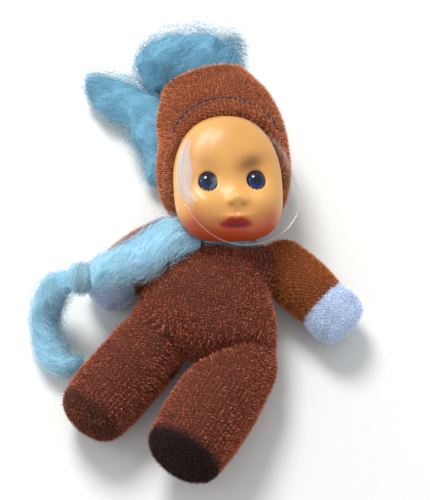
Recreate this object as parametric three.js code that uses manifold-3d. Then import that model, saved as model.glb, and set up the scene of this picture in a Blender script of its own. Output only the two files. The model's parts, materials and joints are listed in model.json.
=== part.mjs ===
// A miniature stuffed doll lying on its back: plush suit and hood, moulded vinyl face with set-in
// eyes, pale mittens, a roving scarf with a knot, a roving tuft behind the hood and a clear film
// over the face.
// Frame: +X is the doll's left, +Y runs to the head, +Z is up out of the belly.
// The origin is the middle of the flat patch on the back that the doll lies on.

import * as THREE from "three";
import { mergeVertices } from "three/addons/utils/BufferGeometryUtils.js";
import Module from "manifold-3d";

const wasm = await Module();
wasm.setup();

// Driving dimensions, millimetres and degrees

// Fits and walls
const clothGap = 0.35; // between neighbouring soft pieces
const socketGap = 0.6; // round the rounded root of a limb or of the head
const plushWall = 1.3; // plush cloth with its backing
const vinylWall = 1.2;
const restCut = 0.5; // depth of the flat where a form lies on the table
const threadRadius = 0.3;
const mouthShare = 0.55; // of the root of a limb that its seam leaves open

// Body: half sizes of its sections and their places along the body
const neckPlace = 17;
const neckRadius = 7.6;
const chestPlace = 12;
const chestHalfWidth = 14.2;
const chestHalfDepth = 11;
const bellyPlace = 2;
const bellyHalfWidth = 18.6;
const bellyHalfDepth = 13.2;
const hipPlace = -6;
const hipHalfWidth = 20;
const hipHalfDepth = 12.4;
const neckDome = 2;
const seatDome = 7;

// Arms: the shoulder seam, then distances along the arm
const shoulderOut = 16.8;
const shoulderPlace = 19;
const shoulderHeight = 10.2;
const armRootRadius = 7.5;
const sleeveRadius = 8;
const cuffRadius = 7.3;
const sleeveLength = 15.2;
const mittenRadius = 7.9;
const mittenEndRadius = 7.2;
const mittenLength = 10.4;
const mittenDome = 2.8;
const armOut = 55; // from straight down the body
const armDroop = 4; // toward the table
const elbowShare = 0.5; // along the sleeve
const palmShare = 0.35; // along the mitten

// Legs: the hip seam, then distances along the leg
const leftHipOut = 10.8;
const rightHipOut = 13.2;
const hipSeamPlace = -13;
const leftRootRadius = 11.6;
const leftLegRadius = 12.1;
const rightRootRadius = 10.4;
const rightLegRadius = 10.6;
const footShare = 0.92; // girth at the foot, of the girth at the shin
const leftLegLength = 36;
const rightLegLength = 30;
const kneeShare = 0.32; // along the leg
const shinShare = 0.58;
const footDome = 6;
const leftLegIn = 20; // turned in under the body
const rightLegOut = 28; // turned out to the side
const leftLegLift = 9;
const rightLegLift = 1;

// Head: the neck seam, then half sizes of the hood along the head
const headPlace = 19.6;
const headAside = 1;
const headRoll = 14; // toward the doll's right shoulder
const headTip = 12; // chin toward the chest
const headTurn = 6; // toward the doll's left
const napePlace = 3;
const napeRadius = 8;
const jawPlace = 8.5;
const jawRadius = 12.6;
const cheekPlace = 15;
const cheekHalfWidth = 16.8;
const cheekHalfDepth = 16.6;
const browPlace = 23;
const browHalfWidth = 17.9;
const browHalfDepth = 18.4;
const templePlace = 32;
const templeHalfWidth = 17.2;
const templeHalfDepth = 17.6;
const crownPlace = 42;
const crownHalfWidth = 16;
const crownHalfDepth = 13.6;
const topPlace = 49.5;
const topHalfWidth = 12.6;
const topHalfDepth = 9;
const crownAside = 0.9; // the crown sags to the doll's right
const napeDome = 3;
const topDome = 3;

// Face, in its own frame: x across, y up, z out, with its middle at faceMiddle along the head
const faceMiddle = 16.2;
const faceHalfWidth = 14.2;
const foreheadHeight = 19;
const chinHeight = 17;
const faceSquareness = 2.2;
const faceDepth = 9.2;
const faceFullness = 3.7; // how far out the face stays full before it turns back
const faceRim = 10; // height of the back edge above the line of the head
const jawHeight = 7; // of the face below which the scarf keeps clear, from its back edge
const hemLap = 1.3; // how far the hem comes down over the forehead
const hemWidth = 4.6;
const stitchFrom = -12;
const stitchTo = 192;
const gatherTurn = 340; // round the top of the hood, up to its two ends
const eyeApart = 12.4;
const eyePlace = -1.5;
const eyeRadius = 2.7;
const eyeDome = 1.9;
const eyeGap = 0.15;
const eyeFlange = 0.9;
const eyeSet = 0.5; // how far the rim of the eye stands back from the face
const eyeStand = 1.4; // between the back of the mask and the flange

// Swells and hollows of the face: across, up, half width, half height, rise
const faceSwells = [
  [0, -6.9, 2.7, 2.5, 2.9], // nose
  [0, -3, 2, 3, 0.5], // bridge of the nose
  [8.2, -8.6, 4.6, 4.6, 1.4], // cheeks
  [-8.2, -8.6, 4.6, 4.6, 1.4],
  [0, -11.6, 4.2, 1.1, 0.9], // upper lip
  [0, -13.2, 3.6, 0.9, -1.1], // mouth
  [0, -14.8, 3, 1.1, 1], // lower lip
  [0, -16.4, 3.4, 1.7, 0.9], // chin
  [eyeApart / 2, eyePlace, 3.5, 3.3, -1.3], // eye hollows
  [-eyeApart / 2, eyePlace, 3.5, 3.3, -1.3],
  [0, 7.5, 9, 7, 0.9], // forehead
];

// Film over the face
const filmRadius = 16.4;
const filmRise = 7.8;
const filmWall = 0.3;
const filmSquareness = 4.5;
const filmAside = 2.3;
const filmMiddle = 14.8;
const filmHeight = 17;
const filmTilt = 7; // lifted on the doll's right
const filmTip = 4; // lifted over the forehead

// Wool: half widths of the roving
const scarfHalfWidth = 7;
const scarfHalfHeight = 3.6;
const knotRadius = 4.6;
const knotDome = 1.2;
const tailHalfWidth = 4.5;
const tailHalfHeight = 3.8;
const wrapHalfWidth = 3.4;
const wrapHalfHeight = 2.8;
const tuftHalfWidth = 11;
const tuftHalfHeight = 9;
const sideTuftHalfWidth = 7;
const sideTuftHalfHeight = 5.6;

// Scarf: places along it from the throat as shares of its reach, then shares of its half sizes
const scarfReach = 36; // from the throat to the knot
const bandPath = [
  [-0.236, 0.036, -0.036, 0.7, 0.8],
  [-0.378, -0.044, 0.058, 1, 1],
  [-0.572, -0.189, 0.047, 1, 1],
  [-0.739, -0.311, 0.031, 0.85, 1],
  [-0.844, -0.372, 0.019, 0.6, 0.9],
];
const knotPath = [
  [-0.922, -0.4, 0.019, 0.9, 0.95],
  [-0.972, -0.417, 0.017, 1, 1],
  [-1.022, -0.428, 0.011, 0.9, 0.95],
];
const tailPath = [
  [-1.089, -0.439, -0.025, 0.75, 0.8],
  [-1.2, -0.517, -0.203, 1, 1],
  [-1.233, -0.65, -0.369, 1, 1],
  [-1.194, -0.811, -0.431, 1, 1],
  [-1.089, -0.933, -0.447, 0.8, 0.8],
  [-0.989, -0.939, -0.464, 0.55, 0.6],
  [-0.906, -0.878, -0.475, 0.35, 0.4],
];
const wrapPath = [
  [-0.128, 0.011, 0.042, 1, 1],
  [0.094, 0.006, 0.053, 1, 1],
  [0.261, 0.056, -0.036, 0.95, 1],
  [0.339, 0.111, -0.158, 0.7, 0.8],
];

// Tuft: places along its two lobes from the table below the tip of the hood, as shares of the reach
const tuftReach = 22;
const sideTuftReach = 38;
const tuftPath = [
  [-1.005, 0.3, 0.455, 0.6, 0.75],
  [-0.686, 0.482, 0.5, 0.95, 1],
  [-0.232, 0.573, 0.523, 1, 1],
  [0.155, 0.595, 0.523, 0.85, 0.95],
];
const sideTuftPath = [
  [-0.318, -0.695, 0.184, 0.45, 0.8],
  [-0.384, -0.405, 0.184, 0.85, 1],
  [-0.542, -0.155, 0.184, 1, 1],
  [-0.779, 0.003, 0.171, 1, 0.95],
  [-0.989, 0.068, 0.158, 0.6, 0.7],
];

// Travel at the seams, from the pose as it lies
const neckTravel = [-15, 30];
const leftShoulderTravel = [-15, 55];
const rightShoulderTravel = [-10, 25];
const hipTravel = [-6, 60];
const travelSteps = 2;

// Fineness of the forms: rings along and sides round
const bodyFineness = [7, 20];
const hoodFineness = [10, 20];
const armFineness = [5, 14];
const mittenFineness = [3, 14];
const legFineness = [6, 16];
const woolSides = 10;
const faceRings = 9;
const faceSides = 28;
const fillFineness = [4, 12];
const cutterFineness = [4, 14];
const domeRings = 3;
const stitchRings = 44;
const gatherRings = 32;
const filmRings = 6;
const filmSides = 24;
const eyeSides = 14;

const beyond = 200; // farther than anything on the doll

const bodyHeight = bellyHalfDepth - restCut;
const degrees = THREE.MathUtils.degToRad;
const point = (x, y, z) => new THREE.Vector3(x, y, z);
const front = point(0, 0, 1);

// Booleans

function solidOf(geometry) {
  const bare = geometry.clone();
  bare.deleteAttribute("normal");
  bare.deleteAttribute("uv");
  const joined = mergeVertices(bare, 1e-4);
  const vertProperties = new Float32Array(joined.attributes.position.array);
  const triVerts = new Uint32Array(joined.index.array);
  return new wasm.Manifold(new wasm.Mesh({ numProp: 3, vertProperties, triVerts }));
}

function geometryOf(solid) {
  const mesh = solid.getMesh();
  const geometry = new THREE.BufferGeometry();
  geometry.setAttribute("position", new THREE.BufferAttribute(mesh.vertProperties, 3));
  geometry.setIndex(new THREE.BufferAttribute(mesh.triVerts, 1));
  geometry.computeVertexNormals();
  return geometry;
}

// The largest piece of a cut solid, without the crumbs that a cut leaves
function largestPiece(solid) {
  const pieces = solid.decompose();
  pieces.sort((a, b) => b.volume() - a.volume());
  return pieces[0];
}

// Shapes

// A closed form: ellipse sections along a smooth axis, with a dome on each end.
// A station is [centre, half width, half depth]; growth is added to every half size.
function stuffedForm(stations, domes, [rings, sides], growth = 0) {
  const axis = new THREE.CatmullRomCurve3(stations.map(([centre]) => centre));
  const halves = new THREE.CatmullRomCurve3(stations.map(([, wide, deep]) => point(wide, deep, 0)));
  const positions = [];
  const addRing = (t, along, share) => {
    const tangent = axis.getTangent(t);
    const across = point(0, 0, 0).crossVectors(tangent, front).normalize();
    const up = point(0, 0, 0).crossVectors(across, tangent);
    const half = halves.getPoint(t);
    const centre = axis.getPoint(t).addScaledVector(tangent, along);
    for (let side = 0; side < sides; side++) {
      const angle = (side / sides) * 2 * Math.PI;
      const place = centre.clone();
      place.addScaledVector(across, Math.cos(angle) * (half.x + growth) * share);
      place.addScaledVector(up, Math.sin(angle) * (half.y + growth) * share);
      positions.push(place.x, place.y, place.z);
    }
  };
  const addPole = (t, along) => {
    const pole = axis.getPoint(t).addScaledVector(axis.getTangent(t), along);
    positions.push(pole.x, pole.y, pole.z);
  };
  addPole(0, -(domes[0] + growth));
  for (let ring = 1; ring < domeRings; ring++) {
    const angle = (ring / domeRings) * (Math.PI / 2);
    addRing(0, -(domes[0] + growth) * Math.cos(angle), Math.sin(angle));
  }
  for (let ring = 0; ring <= rings; ring++) {
    addRing(ring / rings, 0, 1);
  }
  for (let ring = domeRings - 1; ring > 0; ring--) {
    const angle = (ring / domeRings) * (Math.PI / 2);
    addRing(1, (domes[1] + growth) * Math.cos(angle), Math.sin(angle));
  }
  addPole(1, domes[1] + growth);
  const ringCount = rings + 1 + 2 * (domeRings - 1);
  const last = 1 + ringCount * sides;
  const faces = [];
  for (let side = 0; side < sides; side++) {
    const next = (side + 1) % sides;
    faces.push(0, 1 + side, 1 + next);
    for (let ring = 0; ring < ringCount - 1; ring++) {
      const low = 1 + ring * sides;
      const high = low + sides;
      faces.push(low + side, high + side, high + next);
      faces.push(low + side, high + next, low + next);
    }
    const rim = 1 + (ringCount - 1) * sides;
    faces.push(last, rim + next, rim + side);
  }
  const geometry = new THREE.BufferGeometry();
  geometry.setAttribute("position", new THREE.Float32BufferAttribute(positions, 3));
  geometry.setIndex(faces);
  return geometry;
}

// A smooth round thread through the given points, with two loose ends
function threadForm(points, steps) {
  const shape = new THREE.Shape();
  shape.absarc(0, 0, threadRadius, 0, 2 * Math.PI, false);
  const path = new THREE.CatmullRomCurve3(points);
  const settings = { steps, extrudePath: path, bevelEnabled: false, curveSegments: 3 };
  return new THREE.ExtrudeGeometry(shape, settings);
}

// Forms of the pieces

const bodyForm = (growth, fineness) =>
  stuffedForm(
    [
      [point(0, hipPlace, bodyHeight), hipHalfWidth, hipHalfDepth],
      [point(0, bellyPlace, bodyHeight), bellyHalfWidth, bellyHalfDepth],
      [point(0, chestPlace, bodyHeight), chestHalfWidth, chestHalfDepth],
      [point(0, neckPlace, bodyHeight), neckRadius, neckRadius],
    ],
    [seatDome, neckDome],
    fineness,
    growth,
  );

const along = (distance) => point(0, -distance, 0);

const armForm = (growth, fineness) =>
  stuffedForm(
    [
      [along(0), armRootRadius, armRootRadius],
      [along(sleeveLength * elbowShare), sleeveRadius, sleeveRadius],
      [along(sleeveLength), cuffRadius, cuffRadius],
      [along(sleeveLength + clothGap + mittenLength - mittenDome), mittenEndRadius, mittenEndRadius],
    ],
    [armRootRadius, mittenDome],
    fineness,
    growth,
  );

const mittenForm = (growth, fineness) => {
  const cuff = sleeveLength + clothGap;
  return stuffedForm(
    [
      [along(cuff - plushWall), cuffRadius, cuffRadius],
      [along(cuff + mittenLength * palmShare), mittenRadius, mittenRadius],
      [along(cuff + mittenLength - mittenDome), mittenEndRadius, mittenEndRadius],
    ],
    [plushWall, mittenDome],
    fineness,
    growth,
  );
};

const legForm = ({ root, radius, length }, growth, fineness) =>
  stuffedForm(
    [
      [along(0), root, root],
      [along(length * kneeShare), radius, radius],
      [along(length * shinShare), radius, radius],
      [along(length - footDome), radius * footShare, radius * footShare],
    ],
    [root, footDome],
    fineness,
    growth,
  );

const hoodForm = (growth, fineness) =>
  stuffedForm(
    [
      [point(0, napePlace, 0), napeRadius, napeRadius],
      [point(0, jawPlace, 0), jawRadius, jawRadius],
      [point(0, cheekPlace, 0), cheekHalfWidth, cheekHalfDepth],
      [point(0, browPlace, 0), browHalfWidth, browHalfDepth],
      [point(0, templePlace, 0), templeHalfWidth, templeHalfDepth],
      [point(-crownAside, crownPlace, 0), crownHalfWidth, crownHalfDepth],
      [point(-crownAside, topPlace, 0), topHalfWidth, topHalfDepth],
    ],
    [napeDome, topDome],
    fineness,
    growth,
  );

// Where each moving piece is joined on

function frameAt(place, tip, turn, roll) {
  const euler = new THREE.Euler(degrees(tip), degrees(turn), degrees(roll), "ZXY");
  const spin = new THREE.Quaternion().setFromEuler(euler);
  return new THREE.Matrix4().compose(place, spin, point(1, 1, 1));
}

// The height at which a tilted form lies on the table, pressed flat by the rest cut
function lyingHeight(form, tip, turn, roll) {
  const tilted = form.clone().applyMatrix4(frameAt(point(0, 0, 0), tip, turn, roll));
  tilted.computeBoundingBox();
  return -tilted.boundingBox.min.z - restCut;
}

const legSizes = {
  left: { root: leftRootRadius, radius: leftLegRadius, length: leftLegLength },
  right: { root: rightRootRadius, radius: rightLegRadius, length: rightLegLength },
};
const leftLegForm = legForm(legSizes.left, 0, legFineness);
const rightLegForm = legForm(legSizes.right, 0, legFineness);
const headHeight = lyingHeight(hoodForm(0, hoodFineness), headTip, headTurn, headRoll);
const leftHipHeight = lyingHeight(leftLegForm, -leftLegLift, 0, -leftLegIn);
const rightHipHeight = lyingHeight(rightLegForm, -rightLegLift, 0, -rightLegOut);
const neckAt = point(headAside, headPlace, headHeight);
const leftHipAt = point(leftHipOut, hipSeamPlace, leftHipHeight);
const rightHipAt = point(-rightHipOut, hipSeamPlace, rightHipHeight);
const shoulderAt = (side) => point(side * shoulderOut, shoulderPlace, shoulderHeight);
const headTurned = (angle) => frameAt(neckAt, headTip, headTurn + angle, headRoll);
const leftArmRaised = (angle) => frameAt(shoulderAt(1), armDroop, 0, armOut + angle);
const rightArmRaised = (angle) => frameAt(shoulderAt(-1), armDroop, 0, -armOut - angle);
const leftLegLifted = (angle) => frameAt(leftHipAt, -leftLegLift - angle, 0, -leftLegIn);
const rightLegLifted = (angle) => frameAt(rightHipAt, -rightLegLift - angle, 0, -rightLegOut);
const headFrame = headTurned(0);
const armFrames = { left: leftArmRaised(0), right: rightArmRaised(0) };
const legFrames = { left: leftLegLifted(0), right: rightLegLifted(0) };

// Face

function faceOutline(angle, growth) {
  const across = Math.abs(Math.cos(angle)) / (faceHalfWidth + growth);
  const height = Math.sin(angle) > 0 ? foreheadHeight : chinHeight;
  const upright = Math.abs(Math.sin(angle)) / (height + growth);
  return (across ** faceSquareness + upright ** faceSquareness) ** (-1 / faceSquareness);
}

function faceRise(x, y, share, growth) {
  const left = Math.max(0, 1 - share ** faceFullness);
  const dome = (faceDepth + growth) * left ** (1 / faceSquareness);
  const fade = 1 - share ** 4;
  let swell = 0;
  for (const [across, up, halfWidth, halfHeight, rise] of faceSwells) {
    const away = ((x - across) / halfWidth) ** 2 + ((y - up) / halfHeight) ** 2;
    swell += rise * Math.exp(-away);
  }
  return dome + swell * fade;
}

function facePoint(share, angle, growth) {
  const reach = share * faceOutline(angle, growth);
  const x = reach * Math.cos(angle);
  const y = reach * Math.sin(angle);
  return point(x, y, faceRise(x, y, share, growth));
}

// A skin between an outer and an inner copy of the face, open at the back
function faceShell() {
  const sides = faceSides;
  const rings = faceRings;
  const positions = [];
  const addSheet = (growth) => {
    const middle = facePoint(0, 0, growth);
    positions.push(middle.x, middle.y, middle.z);
    for (let ring = 1; ring <= rings; ring++) {
      for (let side = 0; side < sides; side++) {
        const place = facePoint(ring / rings, (side / sides) * 2 * Math.PI, growth);
        positions.push(place.x, place.y, place.z);
      }
    }
  };
  addSheet(0);
  addSheet(-vinylWall);
  const sheet = 1 + rings * sides;
  const faces = [];
  for (let side = 0; side < sides; side++) {
    const next = (side + 1) % sides;
    faces.push(0, 1 + side, 1 + next);
    faces.push(sheet, sheet + 1 + next, sheet + 1 + side);
    for (let ring = 0; ring < rings - 1; ring++) {
      const near = 1 + ring * sides;
      const far = near + sides;
      faces.push(near + side, far + side, far + next);
      faces.push(near + side, far + next, near + next);
      faces.push(sheet + near + side, sheet + far + next, sheet + far + side);
      faces.push(sheet + near + side, sheet + near + next, sheet + far + next);
    }
    const rim = 1 + (rings - 1) * sides;
    faces.push(rim + side, sheet + rim + side, sheet + rim + next);
    faces.push(rim + side, sheet + rim + next, rim + next);
  }
  const geometry = new THREE.BufferGeometry();
  geometry.setAttribute("position", new THREE.Float32BufferAttribute(positions, 3));
  geometry.setIndex(faces);
  return geometry;
}

// How far the edge of the hem stands off the outline of the face: it laps over the forehead
const hemEdge = (angle) => clothGap - hemLap * Math.max(0, Math.sin(angle)) ** 4;

// The outline of the face drawn out to a straight block, from back to far ahead
function faceBlock(growthAt, back, ahead) {
  const outline = new THREE.Shape();
  for (let side = 0; side < faceSides; side++) {
    const angle = (side / faceSides) * 2 * Math.PI;
    const reach = faceOutline(angle, growthAt(angle));
    const x = reach * Math.cos(angle);
    const y = reach * Math.sin(angle);
    if (side === 0) {
      outline.moveTo(x, y);
    } else {
      outline.lineTo(x, y);
    }
  }
  outline.closePath();
  const settings = { depth: ahead - back, bevelEnabled: false };
  return new THREE.ExtrudeGeometry(outline, settings).translate(0, 0, back);
}

const faceToHead = new THREE.Matrix4().makeTranslation(0, faceMiddle, faceRim);
const eyeRim = (side) => {
  const x = (side * eyeApart) / 2;
  const share = Math.hypot(x, eyePlace) / faceOutline(Math.atan2(eyePlace, x), 0);
  return point(x, eyePlace, faceRise(x, eyePlace, share, 0) - eyeSet);
};

// A glossy bead with a straight side and a flange behind the mask
function eyeBead(side) {
  const profile = [];
  const domeSteps = 4;
  const rim = eyeRim(side);
  const flangeFront = -(vinylWall + eyeStand);
  for (let step = 0; step <= domeSteps; step++) {
    const angle = (step / domeSteps) * (Math.PI / 2);
    profile.push(new THREE.Vector2(eyeRadius * Math.sin(angle), eyeDome * Math.cos(angle)));
  }
  profile.push(new THREE.Vector2(eyeRadius, flangeFront));
  profile.push(new THREE.Vector2(eyeRadius + eyeFlange, flangeFront));
  profile.push(new THREE.Vector2(eyeRadius + eyeFlange, flangeFront - eyeFlange));
  profile.push(new THREE.Vector2(0, flangeFront - eyeFlange));
  const bead = new THREE.LatheGeometry(profile.reverse(), eyeSides);
  return bead.rotateX(Math.PI / 2).translate(rim.x, rim.y, rim.z);
}

// Film: a thin bulging cap, open toward the face
function filmForm() {
  const steps = filmRings;
  const profile = [];
  const rise = (share) => filmRise * Math.sqrt(Math.max(0, 1 - share ** filmSquareness));
  for (let step = 0; step <= steps; step++) {
    const share = Math.sin((step / steps) * (Math.PI / 2));
    profile.push(new THREE.Vector2((filmRadius - filmWall) * share, rise(share) - filmWall));
  }
  for (let step = steps; step >= 0; step--) {
    const share = Math.sin((step / steps) * (Math.PI / 2));
    profile.push(new THREE.Vector2(filmRadius * share, rise(share)));
  }
  const film = new THREE.LatheGeometry(profile, filmSides);
  film.rotateX(Math.PI / 2);
  film.rotateX(degrees(filmTip));
  film.rotateY(degrees(filmTilt));
  return film.translate(filmAside, filmMiddle, filmHeight);
}

// The root group and one group for each moving piece

const doll = new THREE.Group();
doll.name = "miniature_doll";

function bodyGroup(name, frame) {
  const group = new THREE.Group();
  group.name = name;
  group.applyMatrix4(frame);
  doll.add(group);
  group.updateMatrixWorld(true);
  return group;
}

const torso = bodyGroup("torso", new THREE.Matrix4());
const head = bodyGroup("head", headFrame);
const arms = {
  left: bodyGroup("arm_left", armFrames.left),
  right: bodyGroup("arm_right", armFrames.right),
};
const legs = {
  left: bodyGroup("leg_left", legFrames.left),
  right: bodyGroup("leg_right", legFrames.right),
};

function addPiece(group, name, geometry, color, roughness) {
  const material = new THREE.MeshStandardMaterial({ color, roughness });
  const mesh = new THREE.Mesh(geometry, material);
  mesh.name = name;
  group.add(mesh);
}

const suitBrown = 0x6e3b2a;
const hoodBrown = 0x8a4a2c;
const sleeveBrown = 0x7a431f;
const mittenBlue = 0xa9b8d6;
const woolBlue = 0x7fb2cf;
const fillWhite = 0xe9e6dd;
const vinylTan = 0xebb274;
const eyeNavy = 0x1b2350;
const threadNavy = 0x23283c;
const filmClear = 0xdfe6ea;

const placed = (geometry, frame) => geometry.clone().applyMatrix4(frame);
const toLocal = (geometry, frame) => geometry.applyMatrix4(frame.clone().invert());
const table = solidOf(new THREE.BoxGeometry(2 * beyond, 2 * beyond, beyond).translate(0, 0, -beyond / 2));

// Everywhere that a moving form reaches over its travel
function swept(geometry, frameFor, [least, most]) {
  let room = solidOf(placed(geometry, frameFor(least)));
  for (let step = 1; step <= travelSteps; step++) {
    const angle = least + ((most - least) * step) / travelSteps;
    room = room.add(solidOf(placed(geometry, frameFor(angle))));
  }
  return room;
}

const armReach = armForm(socketGap, cutterFineness);
const headForm = hoodForm(socketGap, cutterFineness);
const sockets = [
  swept(armReach, leftArmRaised, leftShoulderTravel),
  swept(armReach, rightArmRaised, rightShoulderTravel),
  swept(legForm(legSizes.left, socketGap, cutterFineness), leftLegLifted, hipTravel),
  swept(legForm(legSizes.right, socketGap, cutterFineness), rightLegLifted, hipTravel),
  solidOf(placed(headForm, headFrame)),
];

function cutBy(solid, cutters) {
  let rest = solid;
  for (const cutter of cutters) {
    rest = rest.subtract(cutter);
  }
  return rest;
}

// Body
const bodyOuter = solidOf(bodyForm(0, bodyFineness));
const bodyInner = solidOf(bodyForm(-plushWall, bodyFineness));
const bodySkin = largestPiece(cutBy(bodyOuter, [bodyInner, table, ...sockets]));
const bodyFill = largestPiece(cutBy(solidOf(bodyForm(-plushWall - clothGap, fillFineness)), sockets));
addPiece(torso, "torso_skin", geometryOf(bodySkin), suitBrown, 0.95);
addPiece(torso, "torso_stuffing", geometryOf(bodyFill), fillWhite, 1);

// The open mouth where the skin of a limb is sewn on
const mouthAt = (radius) => {
  const mouth = new THREE.CylinderGeometry(mouthShare * radius, mouthShare * radius, 2 * radius, 16);
  return solidOf(mouth.translate(0, radius, 0));
};

// Arms
const cuffBlock = (from, to) =>
  new THREE.BoxGeometry(beyond, to - from, beyond).translate(0, -(from + to) / 2, 0);
for (const side of ["left", "right"]) {
  const sleeveSpan = solidOf(cuffBlock(-beyond, sleeveLength));
  const mittenSpan = solidOf(cuffBlock(sleeveLength + clothGap, beyond));
  const armHollow = solidOf(armForm(-plushWall, armFineness));
  const rootMouth = mouthAt(armRootRadius);
  const sleeve = cutBy(solidOf(armForm(0, armFineness)), [armHollow, rootMouth]).intersect(sleeveSpan);
  const mittenHollow = solidOf(mittenForm(-plushWall, mittenFineness));
  const mitten = solidOf(mittenForm(0, mittenFineness)).subtract(mittenHollow).intersect(mittenSpan);
  const fill = solidOf(armForm(-plushWall - clothGap, fillFineness));
  addPiece(arms[side], `sleeve_${side}`, geometryOf(sleeve), sleeveBrown, 0.95);
  addPiece(arms[side], `mitten_${side}`, geometryOf(mitten), mittenBlue, 0.95);
  addPiece(arms[side], `arm_stuffing_${side}`, geometryOf(fill), fillWhite, 1);
}

// Legs
for (const side of ["left", "right"]) {
  const sizes = legSizes[side];
  const hollow = solidOf(legForm(sizes, -plushWall, legFineness));
  const rootMouth = mouthAt(sizes.root);
  const tableHere = solidOf(toLocal(geometryOf(table), legFrames[side]));
  const skin = cutBy(solidOf(legForm(sizes, 0, legFineness)), [hollow, rootMouth, tableHere]);
  const fill = solidOf(legForm(sizes, -plushWall - clothGap, fillFineness));
  addPiece(legs[side], `leg_skin_${side}`, geometryOf(skin), suitBrown, 0.95);
  addPiece(legs[side], `leg_stuffing_${side}`, geometryOf(fill), fillWhite, 1);
}

// Head
const tableAtHead = solidOf(toLocal(geometryOf(table), headFrame));
const opening = solidOf(faceBlock(hemEdge, -vinylWall, beyond).applyMatrix4(faceToHead));
const hoodHollow = solidOf(hoodForm(-plushWall, hoodFineness));
const hoodSkin = cutBy(solidOf(hoodForm(0, hoodFineness)), [hoodHollow, opening, tableAtHead]);
const eyeHole = (side) => {
  const hole = new THREE.CylinderGeometry(eyeRadius + eyeGap, eyeRadius + eyeGap, beyond, 20);
  return solidOf(hole.rotateX(Math.PI / 2).translate((side * eyeApart) / 2, eyePlace, 0));
};
const mask = cutBy(solidOf(faceShell()), [eyeHole(1), eyeHole(-1)]);
const faceSide = new THREE.BoxGeometry(2 * beyond, 2 * beyond, beyond);
faceSide.translate(0, 0, faceRim - 2 * clothGap + beyond / 2);
const headFill = solidOf(hoodForm(-plushWall - clothGap, fillFineness)).subtract(solidOf(faceSide));
addPiece(head, "hood", geometryOf(largestPiece(hoodSkin)), hoodBrown, 0.95);
addPiece(head, "head_stuffing", geometryOf(headFill), fillWhite, 1);
addPiece(head, "face_mask", placed(geometryOf(mask), faceToHead), vinylTan, 0.35);
addPiece(head, "eye_left", eyeBead(1).applyMatrix4(faceToHead), eyeNavy, 0.1);
addPiece(head, "eye_right", eyeBead(-1).applyMatrix4(faceToHead), eyeNavy, 0.1);

const hoodGrown = solidOf(hoodForm(clothGap, hoodFineness)).subtract(opening);
const film = largestPiece(solidOf(filmForm()).subtract(hoodGrown));
addPiece(head, "clear_film", geometryOf(film), filmClear, 0.05);

// Topstitch along the hem: from the edge of the opening outward over the hood by the hem's width
const hoodSurface = new THREE.Mesh(hoodForm(clothGap + threadRadius, hoodFineness));
const overHood = (angle, growth) => {
  const reach = faceOutline(angle, growth);
  const from = point(reach * Math.cos(angle), faceMiddle + reach * Math.sin(angle), beyond);
  const hits = new THREE.Raycaster(from, point(0, 0, -1)).intersectObject(hoodSurface);
  return hits.length > 0 ? hits[0].point : null;
};
const stitchPoints = [];
const stitchSteps = 26;
const walkStep = 0.1;
for (let step = 0; step <= stitchSteps; step++) {
  const angle = degrees(stitchFrom + ((stitchTo - stitchFrom) * step) / stitchSteps);
  let place = overHood(angle, hemEdge(angle));
  let walked = 0;
  for (let growth = hemEdge(angle); place && walked < hemWidth; growth += walkStep) {
    const next = overHood(angle, growth + walkStep);
    if (next === null) {
      break;
    }
    walked += next.distanceTo(place);
    place = next;
  }
  if (place) {
    stitchPoints.push(place);
  }
}
addPiece(head, "hem_stitching", threadForm(stitchPoints, stitchRings), threadNavy, 0.8);

// Gathering thread round the top of the hood
const gatherPoints = [];
const gatherSteps = 16;
for (let step = 0; step <= gatherSteps; step++) {
  const angle = degrees(gatherTurn * (step / gatherSteps - 0.5) + 90);
  const outside = clothGap + 2 * threadRadius;
  const x = (topHalfWidth + outside) * Math.cos(angle) - crownAside;
  const z = (topHalfDepth + outside) * Math.sin(angle);
  gatherPoints.push(point(x, topPlace, z));
}
addPiece(head, "crown_thread", threadForm(gatherPoints, gatherRings), threadNavy, 0.8);

// Wool

const throat = point(0, neckPlace, bodyHeight + neckRadius);
const crownFoot = point(0, topPlace + topDome, 0).applyMatrix4(headFrame).setZ(0);

// A length of roving along a path from a given point
function roving(from, reach, path, [halfWidth, halfHeight], domes, rings, growth = 0) {
  const stations = path.map(([x, y, z, wide, high]) => {
    const centre = point(x, y, z).multiplyScalar(reach).add(from);
    return [centre, wide * halfWidth, high * halfHeight];
  });
  return solidOf(stuffedForm(stations, domes, [rings, woolSides], growth));
}

const jawBlock = faceBlock(() => socketGap, -clothGap, jawHeight).applyMatrix4(faceToHead);
const mittenReach = mittenForm(socketGap, cutterFineness);
const scarfCutters = [
  ...sockets,
  swept(jawBlock, headTurned, neckTravel),
  swept(mittenReach, rightArmRaised, rightShoulderTravel),
  solidOf(bodyForm(clothGap, bodyFineness)),
];
const bandForm = (growth) =>
  roving(throat, scarfReach, bandPath, [scarfHalfWidth, scarfHalfHeight], [2, 1], 9, growth);
const knotForm = (growth) =>
  roving(throat, scarfReach, knotPath, [knotRadius, knotRadius], [knotDome, knotDome], 4, growth);
const tailForm = roving(throat, scarfReach, tailPath, [tailHalfWidth, tailHalfHeight], [1, 1], 14);
const wrapForm = roving(throat, scarfReach, wrapPath, [wrapHalfWidth, wrapHalfHeight], [1, 1], 9);
const knotGrown = knotForm(clothGap);
const scarfPieces = [
  ["scarf_band", bandForm(0), [...scarfCutters, knotGrown]],
  ["scarf_knot", knotForm(0), scarfCutters],
  ["scarf_tail", tailForm, [...scarfCutters, knotGrown, table]],
  ["scarf_wrap", wrapForm, [...scarfCutters, bandForm(clothGap)]],
];
for (const [name, form, cutters] of scarfPieces) {
  addPiece(torso, name, geometryOf(largestPiece(cutBy(form, cutters))), woolBlue, 1);
}

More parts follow.
